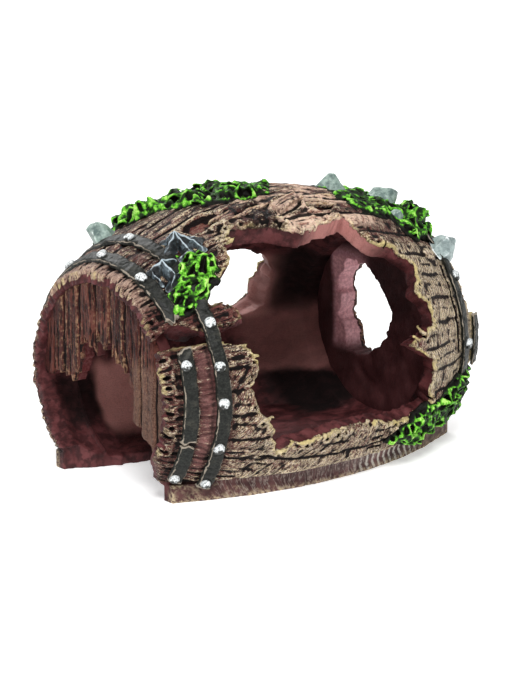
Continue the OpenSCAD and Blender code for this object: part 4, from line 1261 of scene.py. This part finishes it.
def moss(name, node, outline, tall, seed, blocks=(), pitch=2.8, wall=0.33, cover=0.0, bright=0.0):
    """A lacy patch of moss. outline is in x and angle; tall gives its height along the barrel;
    blocks are round places that it leaves free."""
    cell = 0.27
    pts = skin_mm(outline)
    us, vs = (
        np.arange(min(p[k] for p in pts) - 2, max(p[k] for p in pts) + 2, cell).astype(f4) for k in (0, 1))
    height = float(np.max(tall(us)))
    ws = np.arange(-1.0, height + 0.8, cell).astype(f4)
    u, v = np.meshgrid(us, vs, indexing="ij")
    inside = -outline_sd(*warped(u, v, seed, 1.5, 0.5), pts)
    for x, a, rad in blocks:
        inside = np.minimum(inside, np.hypot(u - x, v - arc_mm(a)) - rad)
    uneven = 0.64 + 0.34 * noise2(u / 3.4, v / 3.4, seed + 5) + 0.24 * noise2(u / 1.4, v / 1.4, seed + 6)
    top = tall(u) * np.clip(uneven, 0.25, 1.05) * step(-0.3, 2.2, inside)
    low = (0.5 + 0.35 * noise2(u / 1.3, v / 1.3, seed + 7)) * step(-0.4, 0.8, inside) + cover
    top, low, inside = (q[:, :, None] for q in (top, low, inside))
    U, V, H = np.meshgrid(us, vs, ws, indexing="ij")
    wob = [noise3(us, vs, ws, 2.2, seed + 10 + k) for k in range(3)]
    walls = cell_walls(U + 0.8 * wob[0], V + 0.8 * wob[1], H * 0.8 + 0.6 * wob[2], pitch, seed + 20)
    rise = np.clip(H / max(height, 1), 0, 1)
    lace = walls - wall * (1.25 - 0.5 * rise) + 0.1 * noise3(us, vs, ws, 0.9, seed + 15)
    d = np.maximum(lace, H - top)
    d = np.minimum(d, (H - low) * 0.8 + 0.15 * wob[0])
    d = np.maximum(d, -inside * 0.9 + 0.3 * wob[1])
    d = np.maximum(d, -H - 0.7).astype(f4)
    lo = (us[0], vs[0], ws[0])
    P, Q = nets(d, lo, cell)
    near, far = bends(d, lo, cell, P, 1.5, 1, 3)
    # bent round the barrel
    x, out = P[:, 0], P[:, 2]
    a = np.radians(P[:, 1] / (math.pi / 180 * ARC_R))
    lean = np.arctan(-2 * (BELLY - RIM) * x / HALF**2)
    r = radius(x) + out * np.cos(lean)
    W = np.stack([x - out * np.sin(lean), -r * np.sin(a), np.maximum(AXIS + r * np.cos(a), 0.3)], -1)
    me = thin(make_mesh(name, W, Q), MOSS_FACES)
    if len(me.vertices) != len(W):
        # values again for the thinner mesh, at the nearest place of the full one
        thinner = coords_of(me)
        take = nearest(thinner, W)
        near, far, P, W = near[take], far[take], P[take], thinner
    flat = np.stack([P[:, 0], P[:, 1], 0 * P[:, 0]], 1)
    top_at = sample(np.repeat(top, 2, 2).astype(f4), (us[0], vs[0], 0), cell, flat)
    put_bends(me, near, far, (3.0, 0.4), (2.6, 0.6))
    put(me, "up", np.clip(P[:, 2] / np.maximum(top_at, 1.0), 0, 1) + bright)
    put(me, "skin", W)
    piece(name, me, MOSS, node)


# ---------------------------------------------------------------- loose wood
def board_field(half_u, half_v, up, turn, seed):
    """A split piece of wood. Boards are blunt, and thin splinters taper to both ends."""
    c, s = math.cos(math.radians(turn)), math.sin(math.radians(turn))

    def field(u, v, w, axes):
        p, q = c * u + s * v, -s * u + c * v
        p = p + 0.5 * noise3(*axes, 1.3, seed)
        q = q + 0.35 * noise3(*axes, 2.0, seed + 1)
        grain = noise2(q / 0.5, p / 6, seed + 2) * 0.22
        crack = 0.7 * bell(q, 0.32) * step(half_u * 0.7, half_u * 0.4, np.abs(p))
        taper = 0.15 * p / half_u if half_v > 1.5 else 0.9 * (np.abs(p) / half_u) ** 2
        d = np.maximum(np.abs(p) - half_u, np.abs(q) - half_v * (1 - taper))
        return np.maximum(np.maximum(d, w - up * (1 - 0.5 * np.abs(taper)) - grain + crack), -w - 0.5)

    return field


def loose(name, node, spots):
    """Loose wood on the roof, in one node: each spot is x, angle, half length, half width, height, turn."""
    points, quads, rows = [], [], []
    cell = 0.2
    for n, (x, a, hu, hv, up, turn) in enumerate(spots):
        o, u, v, w = skin_frame(x, a)
        box = ((-hu - 0.8, hu + 0.8), (-hv - 3.2, hv + 3.2), (-0.8, up + 0.8))
        axes = [np.arange(lo - 0.5, hi + 0.5, cell).astype(f4) for lo, hi in box]
        F = board_field(hu, hv, up, turn, 800 + 9 * n)(*np.meshgrid(*axes, indexing="ij"), axes).astype(f4)
        lo = [q[0] for q in axes]
        P, Q = nets(F, lo, cell)
        quads.append(Q + sum(len(q) for q in points))
        points.append(o + P[:, :1] * u + P[:, 1:2] * v + P[:, 2:] * w)
        c, s = math.cos(math.radians(turn)), math.sin(math.radians(turn))
        lie = np.stack([-s * P[:, 0] + c * P[:, 1], c * P[:, 0] + s * P[:, 1], P[:, 2]], 1)
        q = np.maximum(np.abs(lie[:, 1]) / hu, np.hypot(lie[:, 0], 0.25 * lie[:, 1]) / hv)
        # a dark ring on the board's top, and painted shade along the bottom where each piece meets the roof
        ring = bell(q - 0.55, 0.1) * step(0.3, 0.8, P[:, 2]) if hv > 1.5 else 0 * q
        stain = np.maximum(ring, step(0.5, 0.1, P[:, 2]))
        rows.append((*bends(F, lo, cell, P, 1.5, 1, 3), lie, stain))
    V = np.vstack(points)
    near, far, lie, stain = (np.concatenate(q) for q in zip(*rows))
    me = make_mesh(name, V, np.vstack(quads))
    put_bends(me, near, far, (3.2, 0.5), (3.2, 0.6))
    even = {"rim": 0.3, "bare": 0.75, "dry": 0.4}
    for key in ("rim", "bare", "dry", "deep", "calm", "foot", "glow", "gloom", "red"):
        put(me, key, np.full(len(V), even.get(key, 0)))
    put(me, "stain", stain)
    put(me, "skin", V)
    put(me, "lie", lie)
    piece(name, me, WOOD, node)


# ---------------------------------------------------------------- build
barrel()
head("left_boards", "left_head", -1, LEFT_T, ARCH, HEAD_L, 300)
head("right_boards", "right_head", 1, RIGHT_T, HOLE, HEAD_R, 340)

hoop("band_left_upper", "hoop_left_upper", HOOP_A, -125, 49, 400, (0, 2.5))
hoop("band_left_middle", "hoop_left_middle", HOOP_A, 63.5, 107, 410, (1.2, 1.2))
hoop("band_left_foot", "hoop_left_foot", HOOP_A, 109, 131, 420, (1.2, 0))
hoop("band_inner", "hoop_inner", HOOP_B, -125, 131, 430)
hoop("band_right", "hoop_right", HOOP_C, -125, 126, 440)
hoop("band_stub", "hoop_stub", HOOP_D, 77.2, 104.8, 450, (1.5, 1.5))
rivets("studs_left", "rivets_left", HOOP_A, [(0.5, -34), (0.7, -8), (-0.1, 23), (0.1, 71), (0.1, 128)], 460)
rivets("studs_inner", "rivets_inner", HOOP_B,
       [(0.2, -4), (0.4, 56), (0, 74), (0, 89), (0, 109), (0, 128)], 470)
rivets("studs_right", "rivets_right", HOOP_C, [(0, 56), (0, 89)], 480)

stone("stone_top_left", "stone_left", -36.8, -29.0, (6.6, 6.2, 6.6), 500)
stone("stone_on_crest", "stone_crest", 27, -1, (5.6, 5.2, 5.2), 507)
stone("stone_top_right", "stone_right", 42.0, 6, (9.2, 8.2, 5.6), 512)
stone("pebble", "stone_small", 38.5, 22.5, (4.4, 3.8, 2.4), 520)
stone("stone_by_hoop", "stone_pale", 49.3, 40.5, (8.0, 7.4, 5.4), 527, PALE)

peak = (0.2, 1.6, 5.4)
crag("crag", "rock_cluster", (-35.2, 18), ((-5.5, 7.5), (-6.5, 6), (-0.5, 6.6)), [
    (peak, (-3.9, -0.6, 2.0), 2.2), (peak, (0.6, -4.2, 2.4), 2.0), (peak, (3.6, -1.6, 2.2), 1.9),
    (peak, (-1.4, 4.0, 1.6), 1.9), ((0.6, -4.2, 2.4), (-2.6, -4.6, 1.4), 1.5),
    ((2.4, 1.0, 2.8), (6.2, -1.8, 1.0), 1.3), ((3.6, -1.6, 2.2), (4.4, -4.6, 1.0), 1.3)], 540)
peak = (-0.4, 1.6, 4.8)
crag("spur", "rock_spur", (-42.2, 27), ((-5.5, 5), (-6, 6), (0.6, 6.2)), [
    (peak, (-3.9, 2.2, 2.4), 1.8), (peak, (3.2, 1.6, 2.2), 1.8), (peak, (0.6, -2.8, 2.6), 1.8),
    ((-3.9, 2.2, 2.4), (-3.4, -1.6, 1.2), 1.4), ((0.6, -2.8, 2.6), (-2.0, -4.8, 1.2), 1.5),
    ((0.6, -2.8, 2.6), (2.8, -3.2, 1.4), 1.3)], 550)

moss("moss_roof_left", "moss_ridge", [
    (-35, -42), (-34, -30), (-29, -19), (-26, -13), (-24, -6), (-20, 0), (-15, 5), (-9, 8), (-2, 9),
    (3, 6), (6, 1), (9, -3), (10, -12), (4, -20), (-10, -30), (-24, -40)],
    lambda u: 5.4 - 1.4 * step(-30, -12, u) - 2.0 * step(-6, 3, u), 600, [(-36.4, -30, 3.9)], 4.0, 0.42)
moss("moss_by_rock", "moss_clump", [
    (-38.5, 22), (-33, 24), (-29.5, 29), (-30, 36), (-33, 41), (-37, 45), (-42, 50), (-46.5, 49),
    (-47, 42), (-42, 33)],
    lambda u: 4.4 + 0 * u, 640, pitch=3.4, cover=0.3, bright=0.16)
moss("moss_roof_right", "moss_right_roof", [
    (24, -10), (34, -9), (44, -5), (50, 4), (53, 16), (53, 28), (48, 33), (41, 37), (35, 33), (31, 27),
    (25, 25), (20, 22), (19, 15), (23, 6)],
    lambda u: 2.2 + 1.6 * step(32, 39, u) + 2.2 * step(42, 49, u), 680,
    [(27, -1, 3.0), (42, 6, 4.4), (50, 41, 4.3), (38.5, 22, 2.2)], wall=0.34)
moss("moss_at_foot", "moss_foot", [
    (12, 116), (18, 110), (26, 107), (34, 107), (42, 104), (48, 101), (53, 104), (53, 130), (44, 129),
    (34, 126), (22, 123)],
    lambda u: 3.4 + 0 * u, 720)

loose("loose_board", "roof_board", [(0.6, 16.4, 6.2, 1.8, 1.8, 20)])
loose("splinters", "roof_splinters", [
    (-15.8, 11.4, 8, 0.75, 1.2, 12), (-11, 15.5, 7, 0.8, 1.1, 8), (11.5, 19, 5.5, 0.6, 0.9, -6),
    (19, 12, 5, 0.7, 0.9, -4)])

# ---------------------------------------------------------------- camera, floor and light
scene = bpy.context.scene
scene.view_settings.view_transform = "Standard"
scene.view_settings.look = "None"


def aim(ob, target):
    ob.rotation_euler = (Vector(target) - ob.location).to_track_quat("-Z", "Y").to_euler()


def area(name, where, size, power):
    """A square soft light that shines on the part."""
    light = bpy.data.lights.new(name, "AREA")
    light.shape, light.size, light.energy = "SQUARE", size, power
    ob = bpy.data.objects.new(name, light)
    scene.collection.objects.link(ob)
    ob.location = where
    aim(ob, (0, 0, 0.03))


# The photograph's view: the point looked at, the angles to it and the distance
target = Vector((-0.17, -1.89, 30.64)) * MM
azimuth, height, distance = math.radians(39.41), math.radians(15.26), 943.8 * MM
level = math.cos(height)
towards = Vector((-math.sin(azimuth) * level, -math.cos(azimuth) * level, math.sin(height)))
cam = bpy.data.objects.new("camera", bpy.data.cameras.new("camera"))
scene.collection.objects.link(cam)
scene.camera = cam
cam.location = target + distance * towards
cam.data.sensor_width, cam.data.lens = 36, 180.56
cam.data.clip_start, cam.data.clip_end = 0.05, 20
aim(cam, target)

FLOOR_HALF = 4.0
floor_me = bpy.data.meshes.new("floor")
floor_corners = [(x * FLOOR_HALF, y * FLOOR_HALF, 0) for x, y in ((-1, -1), (1, -1), (1, 1), (-1, 1))]
floor_me.from_pydata(floor_corners, [], [(0, 1, 2, 3)])
floor = bpy.data.objects.new("floor", floor_me)
scene.collection.objects.link(floor)
floor_paint = Mat("floor", 0.8, 0.2)
floor_paint.b.inputs["Emission Color"].default_value = (1, 1, 1, 1)
floor_paint.b.inputs["Emission Strength"].default_value = 0.4
floor_paint.b.inputs["Base Color"].default_value = (0.93, 0.93, 0.93, 1)
floor_me.materials.append(floor_paint.m)

world = bpy.data.worlds.new("world")
scene.world = world
world.use_nodes = True
background = world.node_tree.nodes["Background"]
background.inputs[0].default_value = (1, 1, 1, 1)
background.inputs[1].default_value = 0.5

area("key", (-0.42, -0.5, 0.75), 0.3, 7.5)
area("back", (0.1, 0.75, 0.62), 0.4, 4.5)
